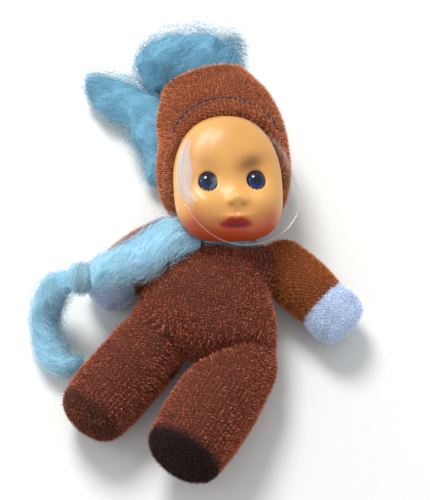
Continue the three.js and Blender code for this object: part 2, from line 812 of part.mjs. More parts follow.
const hoodHere = solidOf(placed(hoodForm(clothGap, hoodFineness), headFrame));
const threadHere = solidOf(placed(threadForm(gatherPoints, gatherRings), headFrame));
const tuftForm = (growth) =>
  roving(crownFoot, tuftReach, tuftPath, [tuftHalfWidth, tuftHalfHeight], [3, 5], 8, growth);
const sideHalves = [sideTuftHalfWidth, sideTuftHalfHeight];
const sideForm = roving(crownFoot, sideTuftReach, sideTuftPath, sideHalves, [2, 3], 11);
const topTuft = largestPiece(cutBy(tuftForm(0), [hoodHere, threadHere, table]));
const sideTuft = largestPiece(cutBy(sideForm, [hoodHere, tuftForm(clothGap), table]));
addPiece(head, "tuft_top", toLocal(geometryOf(topTuft), headFrame), woolBlue, 1);
addPiece(head, "tuft_side", toLocal(geometryOf(sideTuft), headFrame), woolBlue, 1);

doll.updateMatrixWorld(true);

export default doll;
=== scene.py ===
import json
import math

import bmesh
import bpy
import numpy as np
from mathutils import Matrix, Vector, noise
from mathutils.bvhtree import BVHTree


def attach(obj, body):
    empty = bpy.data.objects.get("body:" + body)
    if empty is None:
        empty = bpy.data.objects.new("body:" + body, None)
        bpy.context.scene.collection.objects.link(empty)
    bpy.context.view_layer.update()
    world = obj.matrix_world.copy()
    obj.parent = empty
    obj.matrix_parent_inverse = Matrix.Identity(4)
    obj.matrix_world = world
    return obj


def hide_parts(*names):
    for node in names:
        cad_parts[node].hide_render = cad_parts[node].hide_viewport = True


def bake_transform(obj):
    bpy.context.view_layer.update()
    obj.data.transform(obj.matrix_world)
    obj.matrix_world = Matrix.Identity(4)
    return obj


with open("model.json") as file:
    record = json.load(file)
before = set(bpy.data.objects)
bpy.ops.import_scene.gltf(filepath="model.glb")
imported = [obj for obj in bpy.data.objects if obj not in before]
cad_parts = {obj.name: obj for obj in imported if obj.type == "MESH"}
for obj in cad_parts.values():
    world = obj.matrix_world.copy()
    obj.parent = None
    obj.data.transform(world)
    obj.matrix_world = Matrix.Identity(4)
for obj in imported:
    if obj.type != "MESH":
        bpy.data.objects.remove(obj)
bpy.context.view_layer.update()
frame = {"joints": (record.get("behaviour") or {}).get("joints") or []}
scene = bpy.context.scene
scene.view_settings.view_transform = "Standard"
mm = 0.001
tiny = 1e-6
fullTurn = 2 * math.pi
bothSides = {"left": 1, "right": -1}
noise.seed_set(1)
joints = {joint["name"]: joint for joint in frame["joints"]}

# Camera: where it stands round the doll, and the pixel of the picture that the doll's origin falls on
camera = {"azimuth": 10, "elevation": 67, "distance": 330, "mmPerPixel": 0.28, "originPixel": (210, 333),
          "imageSize": (430, 500), "sensor": 24, "clip": (0.01, 20)}


def placeCamera():
    turn, lift = math.radians(camera["azimuth"]), math.radians(camera["elevation"])
    back = Vector((math.sin(turn) * math.cos(lift), -math.cos(turn) * math.cos(lift), math.sin(lift)))
    right = Vector((math.cos(turn), math.sin(turn), 0))
    up = back.cross(right)
    (width, height), (x, y) = camera["imageSize"], camera["originPixel"]
    pixel = camera["mmPerPixel"] * mm
    target = right * (width / 2 - x) * pixel + up * (y - height / 2) * pixel
    place = back * camera["distance"] * mm
    ahead = (target - place).normalized()
    side = ahead.cross(up).normalized()
    lens = bpy.data.cameras.new("pictureCamera")
    lens.sensor_fit = "VERTICAL"
    lens.sensor_height = lens.sensor_width = camera["sensor"]
    lens.lens = camera["sensor"] * (target - place).length / (height * pixel)
    lens.clip_start, lens.clip_end = camera["clip"]
    view = bpy.data.objects.new("pictureCamera", lens)
    view.matrix_world = Matrix((side, side.cross(ahead), -ahead)).transposed().to_4x4()
    view.location = place
    scene.collection.objects.link(view)
    scene.camera = view


placeCamera()
print("camera placed")


# Hex colours are written as they look on a screen; shaders work in linear light
def linear(hexCode):
    parts = [int(hexCode[i:i + 2], 16) / 255 for i in (1, 3, 5)]
    return [c / 12.92 if c <= 0.04045 else ((c + 0.055) / 1.055) ** 2.4 for c in parts] + [1]


# Inputs go by name or in order. Each is a constant, a socket, or a node that gives its first output
def setInputs(tree, node, inputs):
    for key, value in inputs.items() if isinstance(inputs, dict) else enumerate(inputs):
        if isinstance(value, bpy.types.Node):
            value = next(socket for socket in value.outputs if socket.enabled)
        if isinstance(value, bpy.types.NodeSocket):
            tree.links.new(value, node.inputs[key])
        else:
            node.inputs[key].default_value = value


def addNode(tree, kind, inputs=(), **settings):
    node = tree.nodes.new(kind)
    for name, value in settings.items():
        setattr(node, name, value)
    setInputs(tree, node, inputs)
    return node


def newMaterial(name):
    material = bpy.data.materials.new(name)
    material.use_nodes = True
    return material, material.node_tree, material.node_tree.nodes["Principled BSDF"]


def newObject(name, points, faces, edges=()):
    mesh = bpy.data.meshes.new(name)
    mesh.from_pydata([tuple(p) for p in points], list(edges), [tuple(f) for f in faces])
    mesh.update()
    mesh.shade_smooth()
    obj = bpy.data.objects.new(name, mesh)
    scene.collection.objects.link(obj)
    return obj


def newLine(name, points):
    return newObject(name, points, [], [(k, k + 1) for k in range(len(points) - 1)])


def bakeModifiers(obj):
    graph = bpy.context.evaluated_depsgraph_get()
    shown = obj.evaluated_get(graph)
    mesh = bpy.data.meshes.new_from_object(shown, preserve_all_data_layers=True, depsgraph=graph)
    obj.modifiers.clear()
    old = obj.data
    obj.data = mesh
    bpy.data.meshes.remove(old)
    return obj


# A geometry node group with named inputs, and how it is run on an object
def newGroup(name, inputs):
    tree = bpy.data.node_groups.new(name, "GeometryNodeTree")
    for socket, kind in inputs.items():
        tree.interface.new_socket(name=socket, in_out="INPUT", socket_type="NodeSocket" + kind)
    tree.interface.new_socket(name="Geometry", in_out="OUTPUT", socket_type="NodeSocketGeometry")
    return tree, addNode(tree, "NodeGroupInput").outputs


def runGroup(obj, tree, values):
    modifier = obj.modifiers.new(tree.name, "NODES")
    modifier.node_group = tree
    sockets = {item.name: item.identifier for item in tree.interface.items_tree if item.in_out == "INPUT"}
    for name, value in values.items():
        modifier[sockets[name]] = value
    return bakeModifiers(obj)


def readPoints(obj, kind="co"):
    flat = np.zeros(len(obj.data.vertices) * 3)
    obj.data.vertices.foreach_get(kind, flat)
    return flat.reshape(-1, 3)


def writePoints(obj, points):
    obj.data.vertices.foreach_set("co", np.asarray(points, np.float32).ravel())
    obj.data.update()


def writeValues(obj, name, values, domain="POINT"):
    layer = obj.data.attributes.get(name) or obj.data.attributes.new(name, "FLOAT", domain)
    layer.data.foreach_set("value", np.asarray(values, np.float32))


# From the millimetres of a sewn-on piece's own place to the doll's metres, and back
def placed(points, at):
    return [at @ Vector(p) for p in np.asarray(points) * mm]


def localPoints(obj, at):
    inverse = at.inverted()
    return np.array([inverse @ Vector(p) for p in readPoints(obj)]) / mm


# Nothing sinks into the table: the least height over it
tableGap = {"suit": 0, "pile": 0.05, "woolCore": 0.3, "woolStrand": 0.1}


def aboveTable(points, kind):
    return np.maximum(points, (-np.inf, -np.inf, tableGap[kind] * mm))


def joinInto(obj, *others):
    with bpy.context.temp_override(active_object=obj, selected_editable_objects=[obj, *others]):
        bpy.ops.object.join()
    return obj


def cutAway(obj, cutter):
    knife = obj.modifiers.new("cut", "BOOLEAN")
    knife.operation, knife.object, knife.solver = "DIFFERENCE", cutter, "EXACT"
    bakeModifiers(obj)
    bpy.data.objects.remove(cutter)
    return obj


def remeshed(obj, voxel, softening):
    skin = obj.modifiers.new("skin", "REMESH")
    skin.mode, skin.voxel_size, skin.use_smooth_shade = "VOXEL", voxel * mm, True
    soften = obj.modifiers.new("soften", "SMOOTH")
    soften.factor, soften.iterations = 0.5, softening
    return bakeModifiers(obj)


# From 0 at the start to 1 at the end, and level past both
def ramp(values, start, end):
    return np.clip((values - start) / (end - start), 0, 1)


# Soft round spots added up at each place. A row is across, up, half width, half height, strength
def softSpots(x, y, rows):
    return sum(s * np.exp(-((x - a) / w) ** 2 - ((y - u) / t) ** 2) for a, u, w, t, s in rows)


# A smooth line through rows of numbers, at shares of the way along it
def smoothAt(rows, shares):
    rows = np.array(rows, float)
    last = len(rows) - 1
    rows = np.vstack([2 * rows[0] - rows[1], rows, 2 * rows[-1] - rows[-2]])
    place = np.clip(np.asarray(shares, float) * last, 0, last - 1e-9)
    i = place.astype(int)
    f = (place - i)[:, None]
    p0, p1, p2, p3 = (rows[i + k] for k in range(4))
    # each step counts by the root of its length, so that uneven steps don't make the line swing out
    steps = [((b - a) ** 2).sum(1)[:, None] ** 0.25 for a, b in ((p0, p1), (p1, p2), (p2, p3))]
    d1 = np.where(steps[1] < 1e-4, 1, steps[1])
    d0, d2 = (np.where(step < 1e-4, d1, step) for step in (steps[0], steps[2]))
    m1 = ((p1 - p0) / d0 - (p2 - p0) / (d0 + d1) + (p2 - p1) / d1) * d1
    m2 = ((p2 - p1) / d1 - (p3 - p1) / (d1 + d2) + (p3 - p2) / d2) * d1
    start, end = 2 * f**3 - 3 * f**2 + 1, 3 * f**2 - 2 * f**3
    return start * p1 + (f**3 - 2 * f**2 + f) * m1 + end * p2 + (f**3 - f**2) * m2


# Faces over rings of points, whose one or two end points come after them
def shellFaces(rings, sides, closed=True):
    around = [(s, (s + 1) % sides) for s in range(sides)]
    faces = []
    for inner in range(0, (rings - 1) * sides, sides):
        outer = inner + sides
        faces += [(inner + s, outer + s, outer + n, inner + n) for s, n in around]
    first, ending = rings * sides, (rings - 1) * sides
    for s, n in around:
        faces.append((first, s, n))
        if closed:
            faces.append((first + 1, ending + n, ending + s))
    return faces


# A stuffed form: ellipses along a smooth axis with a dome on each end.
# A station is x, y, z, half width, half depth, in millimetres.
def stuffedForm(name, stations, domes, rings=40, sides=64, growth=0, at=Matrix.Identity(4)):
    stations = np.array(stations, float)
    domeRings = 10
    bow = np.arange(1, domeRings) / domeRings * math.pi / 2
    before, after = domes[0] + growth, domes[1] + growth
    shares = np.concatenate([np.zeros(len(bow)), np.arange(rings + 1) / rings, np.ones(len(bow))])
    pushes = np.concatenate([-before * np.cos(bow), np.zeros(rings + 1), after * np.cos(bow[::-1])])
    shrinks = np.concatenate([np.sin(bow), np.ones(rings + 1), np.sin(bow[::-1])])
    line, step = stations[:, :3], 1e-4
    axis = smoothAt(line, shares)
    ahead = smoothAt(line, np.minimum(shares + step, 1)) - smoothAt(line, np.maximum(shares - step, 0))
    ahead /= np.linalg.norm(ahead, axis=1)[:, None]
    across = np.cross(ahead, [0, 0, 1])
    across /= np.linalg.norm(across, axis=1)[:, None]
    up = np.cross(across, ahead)
    half = (smoothAt(stations[:, 3:], shares) + growth) * shrinks[:, None]
    turn = np.arange(sides) / sides * fullTurn
    rows = (axis + ahead * pushes[:, None])[:, None]
    rows = rows + across[:, None] * (np.cos(turn) * half[:, :1])[:, :, None]
    rows = rows + up[:, None] * (np.sin(turn) * half[:, 1:])[:, :, None]
    ends = [axis[0] - ahead[0] * before, axis[-1] + ahead[-1] * after]
    points = np.vstack([rows.reshape(-1, 3), ends])
    return newObject(name, placed(points, at), shellFaces(len(shares), sides))


# How the head and the limbs lie where they are sewn on: tip, turn and roll in degrees
lying = {"neck_turn": (12, 6, 14), "shoulder_left": (4, 0, 55), "shoulder_right": (4, 0, -46),
         "hip_left": (-9, 0, -20), "hip_right": (-1, 0, -28)}
rightArmIn = 1.8


def sewnAt(joint):
    tip, turn, roll = map(math.radians, lying[joint])
    spin = Matrix.Rotation(roll, 4, "Z") @ Matrix.Rotation(tip, 4, "X")
    return Matrix.Translation(joints[joint]["pos_m"]) @ spin @ Matrix.Rotation(turn, 4, "Y")


headAt = sewnAt("neck_turn")
armAt = {side: sewnAt("shoulder_" + side) for side in bothSides}
armAt["right"] = armAt["right"] @ Matrix.Translation((0, rightArmIn * mm, 0))
legAt = {side: sewnAt("hip_" + side) for side in bothSides}

# Every fibre of the pile: how it tapers and bends, and its length as a share of the cloth's own
fibre = {"taper": 0.75, "bend": 0.3, "shortest": 0.6, "longest": 1.2}


# Short pile on a cloth: a thin tapered blade at each of many random points, leaning a little at random
def makePileTree():
    tree, given = newGroup("pileOnCloth", {
        "Cloth shape": "Geometry", "Fibres per square metre": "Float", "Fibre length": "Float",
        "Fibre width": "Float", "Lean": "Float", "Nap": "Vector", "Rib pitch": "Float", "Rib depth": "Float",
        "Seed": "Int", "Cloth": "Material", "Pile": "Material"})
    covered, rib, tip = (addNode(tree, "GeometryNodeInputNamedAttribute", {"Name": name}, data_type="FLOAT")
                         for name in ("covered", "rib", "tip"))
    density = addNode(tree, "ShaderNodeMath", [given["Fibres per square metre"], covered],
                      operation="MULTIPLY")
    scatter = addNode(tree, "GeometryNodeDistributePointsOnFaces",
                      {"Mesh": given["Cloth shape"], "Density": density, "Seed": given["Seed"]},
                      distribute_method="RANDOM")
    # one blade, a metre long, standing along Z: tapered and a little bent
    grid = addNode(tree, "GeometryNodeMeshGrid", {"Size X": 1, "Size Y": 1, "Vertices X": 2, "Vertices Y": 3})
    spot = addNode(tree, "ShaderNodeSeparateXYZ", [addNode(tree, "GeometryNodeInputPosition")]).outputs
    height = addNode(tree, "ShaderNodeMath", [spot["Y"], 0.5], operation="ADD")
    taper = addNode(tree, "ShaderNodeMath", [height, -fibre["taper"], 1], operation="MULTIPLY_ADD")
    wide = addNode(tree, "ShaderNodeMath", [spot["X"], taper], operation="MULTIPLY")
    square = addNode(tree, "ShaderNodeMath", [height, 2], operation="POWER")
    bend = addNode(tree, "ShaderNodeMath", [square, fibre["bend"]], operation="MULTIPLY")
    stand = addNode(tree, "ShaderNodeCombineXYZ", [wide, bend, height])
    tipped = addNode(tree, "GeometryNodeStoreNamedAttribute",
                     {"Geometry": grid, "Name": "tip", "Value": height}, data_type="FLOAT", domain="POINT")
    blade = addNode(tree, "GeometryNodeSetPosition", {"Geometry": tipped, "Position": stand})
    # ribs: longer pile on the crest of each rib
    turns = addNode(tree, "ShaderNodeMath", [rib, given["Rib pitch"]], operation="DIVIDE")
    phase = addNode(tree, "ShaderNodeMath", [turns, fullTurn], operation="MULTIPLY")
    crest = addNode(tree, "ShaderNodeMath", [phase], operation="SINE")
    swell = addNode(tree, "ShaderNodeMath", [crest, given["Rib depth"], 1], operation="MULTIPLY_ADD")
    vary = addNode(tree, "FunctionNodeRandomValue",
                   {2: fibre["shortest"], 3: fibre["longest"], "Seed": given["Seed"]}, data_type="FLOAT")
    share = addNode(tree, "ShaderNodeMath", [swell, vary], operation="MULTIPLY")
    long = addNode(tree, "ShaderNodeMath", [share, given["Fibre length"]], operation="MULTIPLY")
    size = addNode(tree, "ShaderNodeCombineXYZ", [given["Fibre width"], long, long])
    planted = addNode(tree, "GeometryNodeInstanceOnPoints",
                      {"Points": scatter, "Instance": blade, "Rotation": scatter.outputs["Rotation"],
                       "Scale": size})
    less = addNode(tree, "ShaderNodeMath", [given["Lean"], -1], operation="MULTIPLY")
    low = addNode(tree, "ShaderNodeCombineXYZ", [less, less, -math.pi])
    high = addNode(tree, "ShaderNodeCombineXYZ", [given["Lean"], given["Lean"], math.pi])
    spin = addNode(tree, "FunctionNodeRandomValue", {0: low, 1: high, "Seed": given["Seed"]},
                   data_type="FLOAT_VECTOR")
    leaning = addNode(tree, "GeometryNodeRotateInstances", {"Instances": planted, "Rotation": spin})
    tone = addNode(tree, "FunctionNodeRandomValue", {2: 0, 3: 1, "Seed": 7}, data_type="FLOAT")
    toned = addNode(tree, "GeometryNodeStoreNamedAttribute",
                    {"Geometry": leaning, "Name": "tone", "Value": tone},
                    data_type="FLOAT", domain="INSTANCE")
    real = addNode(tree, "GeometryNodeRealizeInstances", {"Geometry": toned})
    brushed = addNode(tree, "ShaderNodeVectorMath", {0: given["Nap"], "Scale": tip}, operation="SCALE")
    combed = addNode(tree, "GeometryNodeSetPosition", {"Geometry": real, "Offset": brushed})
    both = addNode(tree, "GeometryNodeJoinGeometry")
    for shape, material in ((combed, "Pile"), (given["Cloth shape"], "Cloth")):
        setInputs(tree, both, [addNode(tree, "GeometryNodeSetMaterial",
                                       {"Geometry": shape, "Material": given[material]})])
    addNode(tree, "NodeGroupOutput", [both])
    return tree


pileTree = makePileTree()


def growPile(obj, pile, cloth, plush, seed):
    runGroup(obj, pileTree, {
        "Fibres per square metre": pile["perSquareMm"] / mm**2, "Fibre length": pile["fibreLength"] * mm,
        "Fibre width": pile["fibreWidth"] * mm, "Lean": math.radians(pile["lean"]),
        "Nap": [way * mm for way in pile["nap"]], "Rib pitch": pile["ribPitch"],
        "Rib depth": pile["ribDepth"], "Seed": seed, "Cloth": cloth, "Pile": plush})
    writePoints(obj, aboveTable(readPoints(obj), "pile"))
    return obj


# Brushed pile: dark down at the roots, lighter at the tips, with a few tips that catch the light
def pileMaterial(name, look):
    material, tree, shader = newMaterial(name)
    tip, tone, rib, sole = (addNode(tree, "ShaderNodeAttribute", attribute_name=value).outputs["Fac"]
                            for value in ("tip", "tone", "rib", "sole"))
    place = addNode(tree, "ShaderNodeTexCoord").outputs["Object"]
    fade = addNode(tree, "ShaderNodeMix", {0: tip, 6: linear(look["root"]), 7: linear(look["tip"])},
                   data_type="RGBA")
    patches = addNode(tree, "ShaderNodeTexNoise",
                      {"Vector": place, "Scale": 1 / (look["patch"] * mm), "Detail": 2})
    uneven = addNode(tree, "ShaderNodeMapRange", [patches, 0.3, 0.7, 0.86, 1.12])
    own = addNode(tree, "ShaderNodeMapRange", [tone, 0, 1, *look["uneven"]])
    # painted shade toward the soles: the pile darkens there and its glints are held back
    paintedSoleShade = addNode(tree, "ShaderNodeMath", [sole, -look["sole"], 1], operation="MULTIPLY_ADD")
    turns = addNode(tree, "ShaderNodeMath", [rib, fullTurn / look["ribPitch"]], operation="MULTIPLY")
    crest = addNode(tree, "ShaderNodeMath", [turns], operation="SINE")
    level = addNode(tree, "ShaderNodeMath", [crest, look["ribShade"], 1], operation="MULTIPLY_ADD")
    for factor in (own, paintedSoleShade, uneven):
        level = addNode(tree, "ShaderNodeMath", [level, factor], operation="MULTIPLY")
    shaded = addNode(tree, "ShaderNodeVectorMath", {0: fade, "Scale": level}, operation="SCALE")
    bright = addNode(tree, "ShaderNodeMapRange", [tone, look["glintFrom"], 1, 0, 1])
    for factor in (tip, paintedSoleShade):
        bright = addNode(tree, "ShaderNodeMath", [bright, factor], operation="MULTIPLY")
    colour = addNode(tree, "ShaderNodeMix", {0: bright, 6: shaded, 7: linear(look["glint"])},
                     data_type="RGBA")
    setInputs(tree, shader, {"Base Color": colour, "Roughness": look["roughness"],
                             "Sheen Weight": look["sheen"], "Sheen Roughness": 0.4,
                             "Specular IOR Level": look["specular"]})
    return material


# A wave texture of scale 1 repeats after this length
waveTurn = 0.314


# Knitted backing cloth under the pile: fine rows of loops, only seen between the fibres
def backingMaterial(name, dark, pale, rowPitch):
    material, tree, shader = newMaterial(name)
    place = addNode(tree, "ShaderNodeTexCoord").outputs["Object"]
    rows = addNode(tree, "ShaderNodeTexWave",
                   {"Vector": place, "Scale": waveTurn / (rowPitch * mm), "Distortion": 2, "Detail": 1},
                   bands_direction="Y").outputs["Fac"]
    colour = addNode(tree, "ShaderNodeMix", {0: rows, 6: linear(dark), 7: linear(pale)}, data_type="RGBA")
    sole = addNode(tree, "ShaderNodeAttribute", attribute_name="sole").outputs["Fac"]
    # painted shade toward the soles, as on the pile
    paintedSoleShade = addNode(tree, "ShaderNodeMath", [sole, -0.9, 1], operation="MULTIPLY_ADD")
    shaded = addNode(tree, "ShaderNodeVectorMath", {0: colour, "Scale": paintedSoleShade}, operation="SCALE")
    bump = addNode(tree, "ShaderNodeBump", {"Strength": 0.5, "Distance": 0.2 * mm, "Height": rows})
    setInputs(tree, shader, {"Base Color": shaded, "Normal": bump, "Roughness": 0.95})
    return material


# Suit: body, shoulders and legs in one garment, split down the middle into a half for each leg
suit = {
    "body": [(-0.9, -6, 12.7, 20.9, 12.4), (-0.6, 2, 12.7, 19.2, 13.2), (0, 12, 12.7, 14.4, 11.2),
             (0, 17.4, 12.9, 9, 8.8)],
    "bodyDomes": (7, 2),
    "shoulder": [(2, 11, 12.4, 9.5, 9.5), (9, 14.6, 11.6, 8.6, 8.4), (15, 18, 10.4, 7.2, 7.2)],
    "shoulderDomes": (4, 4),
    "leftLeg": {"root": 10.8, "radius": 11.8, "length": 35, "aside": -0.6, "soleShade": 1},
    "rightLeg": {"root": 10.8, "radius": 10.8, "length": 28.4, "aside": -2, "soleShade": 0.6},
    "thickFrom": 0.32, "thickTo": 0.58, "footShare": 0.92, "footDome": 6, "soleFade": (8, 5.5),
    "nap": 1.1, "softening": 4, "legRibs": (6, -10), "neckGap": 0.5,
    # folds where each thigh meets the belly, seen from above
    "creases": [{"line": [(-9, -19.5), (-4, -16.2), (4, -11.8), (12, -8.6), (19, -6.8)],
                 "hold": 1, "depth": 1.7, "width": 1.4},
                {"line": [(-10, -19), (-13.5, -15), (-20, -11)], "hold": 0.6, "depth": 0.5, "width": 1.6},
                {"line": [(-12, 2), (-4, -1.5), (5, -2.5), (13, -1)], "hold": 0, "depth": 0.35, "width": 2},
                {"line": [(-16, -3), (-8, -7), (2, -8)], "hold": 0, "depth": 0.3, "width": 1.8}],
    "creasesAbove": 9, "creaseEnds": 0.2,
    "middle": (-1.2, -13), "middleTurn": 24, "seamGap": 0.03, "hipReach": 6,
    "hipFold": {"left": (0.235, -0.972, 0), "right": (-0.365, -0.931, 0)},
}
suitPile = {"perSquareMm": 12, "fibreLength": 0.62, "fibreWidth": 0.19, "lean": 24, "nap": (0, -0.1, 0),
            "ribPitch": 1.4, "ribDepth": 0.5}
suitLook = {"root": "#86432C", "tip": "#CA6C49", "glint": "#F4CDB4", "glintFrom": 0.88,
            "uneven": (0.68, 1.28), "sole": 0.93, "patch": 9, "ribPitch": 1.4, "ribShade": 0.5,
            "roughness": 0.55, "sheen": 0.05, "specular": 0.25}

# The stuffing presses the cloth out between the lines where it is held: worked out as cloth, ten times the
# size. It is held on the table and at the neck, from no hold to full hold
stuffing = {"upscale": 10, "pressure": 4, "frames": 20, "reach": 0.9, "voxel": 1.25, "stiffness": 12,
            "bending": 0.4, "leastHold": 0.02, "tableHold": (2.5, 1), "neckHold": (14, 16)}


def stuffOut(obj, held):
    before = readPoints(obj)
    writePoints(obj, before * stuffing["upscale"])
    seams = obj.vertex_groups.new(name="seams")
    for index in np.flatnonzero(held > stuffing["leastHold"]):
        seams.add([int(index)], float(held[index]), "REPLACE")
    fabric = obj.modifiers.new("fabric", "CLOTH")
    fabric.settings.vertex_group_mass = "seams"
    fabric.settings.use_pressure = True
    fabric.settings.uniform_pressure_force = stuffing["pressure"]
    fabric.settings.effector_weights.gravity = 0
    fabric.settings.tension_stiffness = fabric.settings.compression_stiffness = stuffing["stiffness"]
    fabric.settings.bending_stiffness = stuffing["bending"]
    fabric.collision_settings.use_collision = False
    fabric.point_cache.frame_end = stuffing["frames"]
    for step in range(1, stuffing["frames"] + 1):
        scene.frame_set(step)
    bakeModifiers(obj)
    scene.frame_set(1)
    move = readPoints(obj) / stuffing["upscale"] - before
    far = np.linalg.norm(move, axis=1)
    print("stuffing moved the cloth by", round(float(far.mean()) / mm, 2), "mm on average")
    limit = stuffing["reach"] * mm
    move *= (limit * np.tanh(far / limit) / np.maximum(far, 1e-9))[:, None]
    obj.vertex_groups.clear()
    writePoints(obj, before + move)


# How deep in a fold each point lies: 1 on its line, fading over its width and toward its ends
def foldAt(points, crease):
    shares = np.linspace(0, 1, 80)
    apart = np.linalg.norm(points[:, None, :2] - smoothAt(crease["line"], shares), axis=2)
    ends = ramp(np.minimum(shares, 1 - shares), 0, suit["creaseEnds"])[np.argmin(apart, axis=1)]
    near = np.exp(-(np.min(apart, axis=1) / crease["width"]) ** 2)
    return near * ends * (points[:, 2] > suit["creasesAbove"])


def makeSuit():
    thinner = -suit["nap"]
    whole = stuffedForm("suit", suit["body"], suit["bodyDomes"], 40, 64, thinner)
    parts = []
    for side, sign in bothSides.items():
        stations = [(sign * x, y, z, w, d) for x, y, z, w, d in suit["shoulder"]]
        parts.append(stuffedForm("shoulder", stations, suit["shoulderDomes"], 16, 64, thinner))
        leg = suit[side + "Leg"]
        length, radius = leg["length"], leg["radius"]
        along = [(0, leg["root"]), (suit["thickFrom"] * length, radius), (suit["thickTo"] * length, radius),
                 (length - suit["footDome"], radius * suit["footShare"])]
        stations = [(leg["aside"], -place, 0, half, half) for place, half in along]
        domes = (leg["root"], suit["footDome"])
        parts.append(stuffedForm("leg", stations, domes, 30, 64, thinner, legAt[side]))
    joinInto(whole, *parts)
    remeshed(whole, stuffing["voxel"], suit["softening"])
    points = readPoints(whole) / mm
    held = ramp(points[:, 2], *stuffing["tableHold"]) + ramp(points[:, 1], *stuffing["neckHold"])
    held += sum(crease["hold"] * foldAt(points, crease) for crease in suit["creases"])
    stuffOut(whole, np.clip(held, 0, 1))
    finer = whole.modifiers.new("finer", "SUBSURF")
    finer.levels = finer.render_levels = 1
    bakeModifiers(whole)
    points = readPoints(whole)
    depth = sum(crease["depth"] * foldAt(points / mm, crease) for crease in suit["creases"])
    writePoints(whole, points - readPoints(whole, "normal") * depth[:, None] * mm)
    cutAway(whole, hoodForm(suit["neckGap"]))
    writePoints(whole, aboveTable(readPoints(whole), "suit"))
    return whole


def halfOfSuit(whole, side):
    turn = math.radians(suit["middleTurn"])
    normal = Vector((math.cos(turn), -math.sin(turn), 0)) * bothSides[side]
    middle = Vector((*suit["middle"], 0)) * mm + normal * suit["seamGap"] * mm
    shape = bmesh.new()
    shape.from_mesh(whole.data)
    covered = shape.faces.layers.float.new("covered")
    for polygon in shape.faces:
        polygon[covered] = 1
    cut = bmesh.ops.bisect_plane(shape, geom=shape.verts[:] + shape.edges[:] + shape.faces[:],
                                 plane_co=middle, plane_no=-normal, clear_outer=True)
    rim = [e for e in cut["geom_cut"] if isinstance(e, bmesh.types.BMEdge)]
    for wall in bmesh.ops.holes_fill(shape, edges=rim)["faces"]:
        wall[covered] = 0
        wall.smooth = False
    bmesh.ops.recalc_face_normals(shape, faces=shape.faces[:])
    half = newObject("suit_" + side, [], [])
    shape.to_mesh(half.data)
    shape.free()
    # knit ribs run down the body and along the leg, spaced round their girth
    leg = suit[side + "Leg"]
    points, local = readPoints(half) / mm, localPoints(half, legAt[side])
    onBody = np.arctan2(points[:, 0], points[:, 2] - suit["body"][0][2]) * suit["body"][1][3]
    onLeg = np.arctan2(local[:, 0] - leg["aside"], local[:, 2]) * leg["radius"]
    share = ramp(local[:, 1], *suit["legRibs"])
    writeValues(half, "rib", (1 - share) * onBody + share * onLeg)
    # painted shade toward each foot's end, fuller on the left leg
    writeValues(half, "sole", ramp(local[:, 1] + leg["length"], *suit["soleFade"]) * leg["soleShade"])
    return half


# Hood: a knitted cap down to the neck, open round the face, with a turned and stitched hem
hood = {
    "stations": [(0, 3, 0, 8, 8), (0, 8.5, 0, 12.6, 12.6), (0.4, 15, 0, 17.2, 16.6), (1.0, 23, 0, 18.8, 18.4),
                 (1.3, 32, 0, 18.1, 17.6), (-0.7, 42, 0, 16.6, 13.8), (-2.4, 49.5, 0, 12.8, 9.2)],
    "domes": (3, 4), "nap": 0.4, "voxel": 0.6, "softening": 4, "opening": (-1.2, 60), "openGap": 0.35,
    "hemWidth": 4.6, "hemLap": 0.7, "hemThick": 0.45, "hemFade": 0.9, "walkReach": 6, "walkSteps": 121,
    "stitchGroove": 0.35, "grooveWidth": 0.6, "grooveTurns": (-12, 192), "bareByStitch": 0.95, "bareTurn": 58,
    "ribRadius": 16.5, "ribWander": 0.5, "wanderSize": 3.5,
}
hoodPile = {"perSquareMm": 14, "fibreLength": 0.7, "fibreWidth": 0.15, "lean": 26, "nap": (0, 0, 0),
            "ribPitch": 1.2, "ribDepth": 0.5}
hoodLook = {"root": "#93502F", "tip": "#D08457", "glint": "#FFEBDA", "glintFrom": 0.9, "uneven": (0.85, 1.15),
            "sole": 0, "patch": 11, "ribPitch": 1.2, "ribShade": 0.75, "roughness": 0.6, "sheen": 0.05,
            "specular": 0.2}

# Face: a moulded shell in the hood's opening, with a well for each eye
face = {
    "middle": 16.2, "rim": 10, "aside": 0.25, "halfWidth": 14.75, "forehead": 19, "chin": 16.3,
    "squareness": 2.2, "jawSquareness": 3.2, "depth": 9.2, "fullness": 5.2, "wall": 1.2, "hollow": 5,
    "rings": 110, "backRings": 10, "sides": 280,
    "eyeApart": 12.9, "eyePlace": -2, "eyeRadius": 2.75, "eyeNarrow": 0.92, "eyeDome": 1.9, "eyeSet": 0.5,
    "eyeWell": 2.83, "wellDepth": 2.6, "wellSnap": 0.11, "lidRoll": 0.1, "lidWidth": 0.5,
}
faceAt = headAt @ Matrix.Translation(Vector((face["aside"], face["middle"], face["rim"])) * mm)


# How far the face's outline is from its middle, at an angle round from the doll's left
def faceOutline(angle, growth=0.0):
    above = np.sin(angle) > 0
    across = np.abs(np.cos(angle)) / (face["halfWidth"] + growth)
    upright = np.abs(np.sin(angle)) / (np.where(above, face["forehead"], face["chin"]) + growth)
    square = np.where(above, face["squareness"], face["jawSquareness"])
    return (across**square + upright**square) ** (-1 / square)


# How far outside that outline the hood ends: the hem laps over the forehead
def hemEdge(angle):
    return hood["openGap"] - hood["hemLap"] * np.maximum(0, np.sin(angle)) ** 4


def hoodForm(growth):
    return stuffedForm("hoodForm", hood["stations"], hood["domes"], 60, 96, growth, headAt)


# Height of the hood's front over a place, in the head's own millimetres
def hoodTop(x, y, growth=0.0):
    shares = np.linspace(0, 1, 400)
    along = smoothAt([station[:3] for station in hood["stations"]], shares)
    halves = smoothAt([station[3:] for station in hood["stations"]], shares) + growth
    middle, wide, deep = (np.interp(y, along[:, 1], row) for row in (along[:, 0], *halves.T))
    return deep * np.sqrt(np.maximum(0, 1 - ((x - middle) / wide) ** 2))


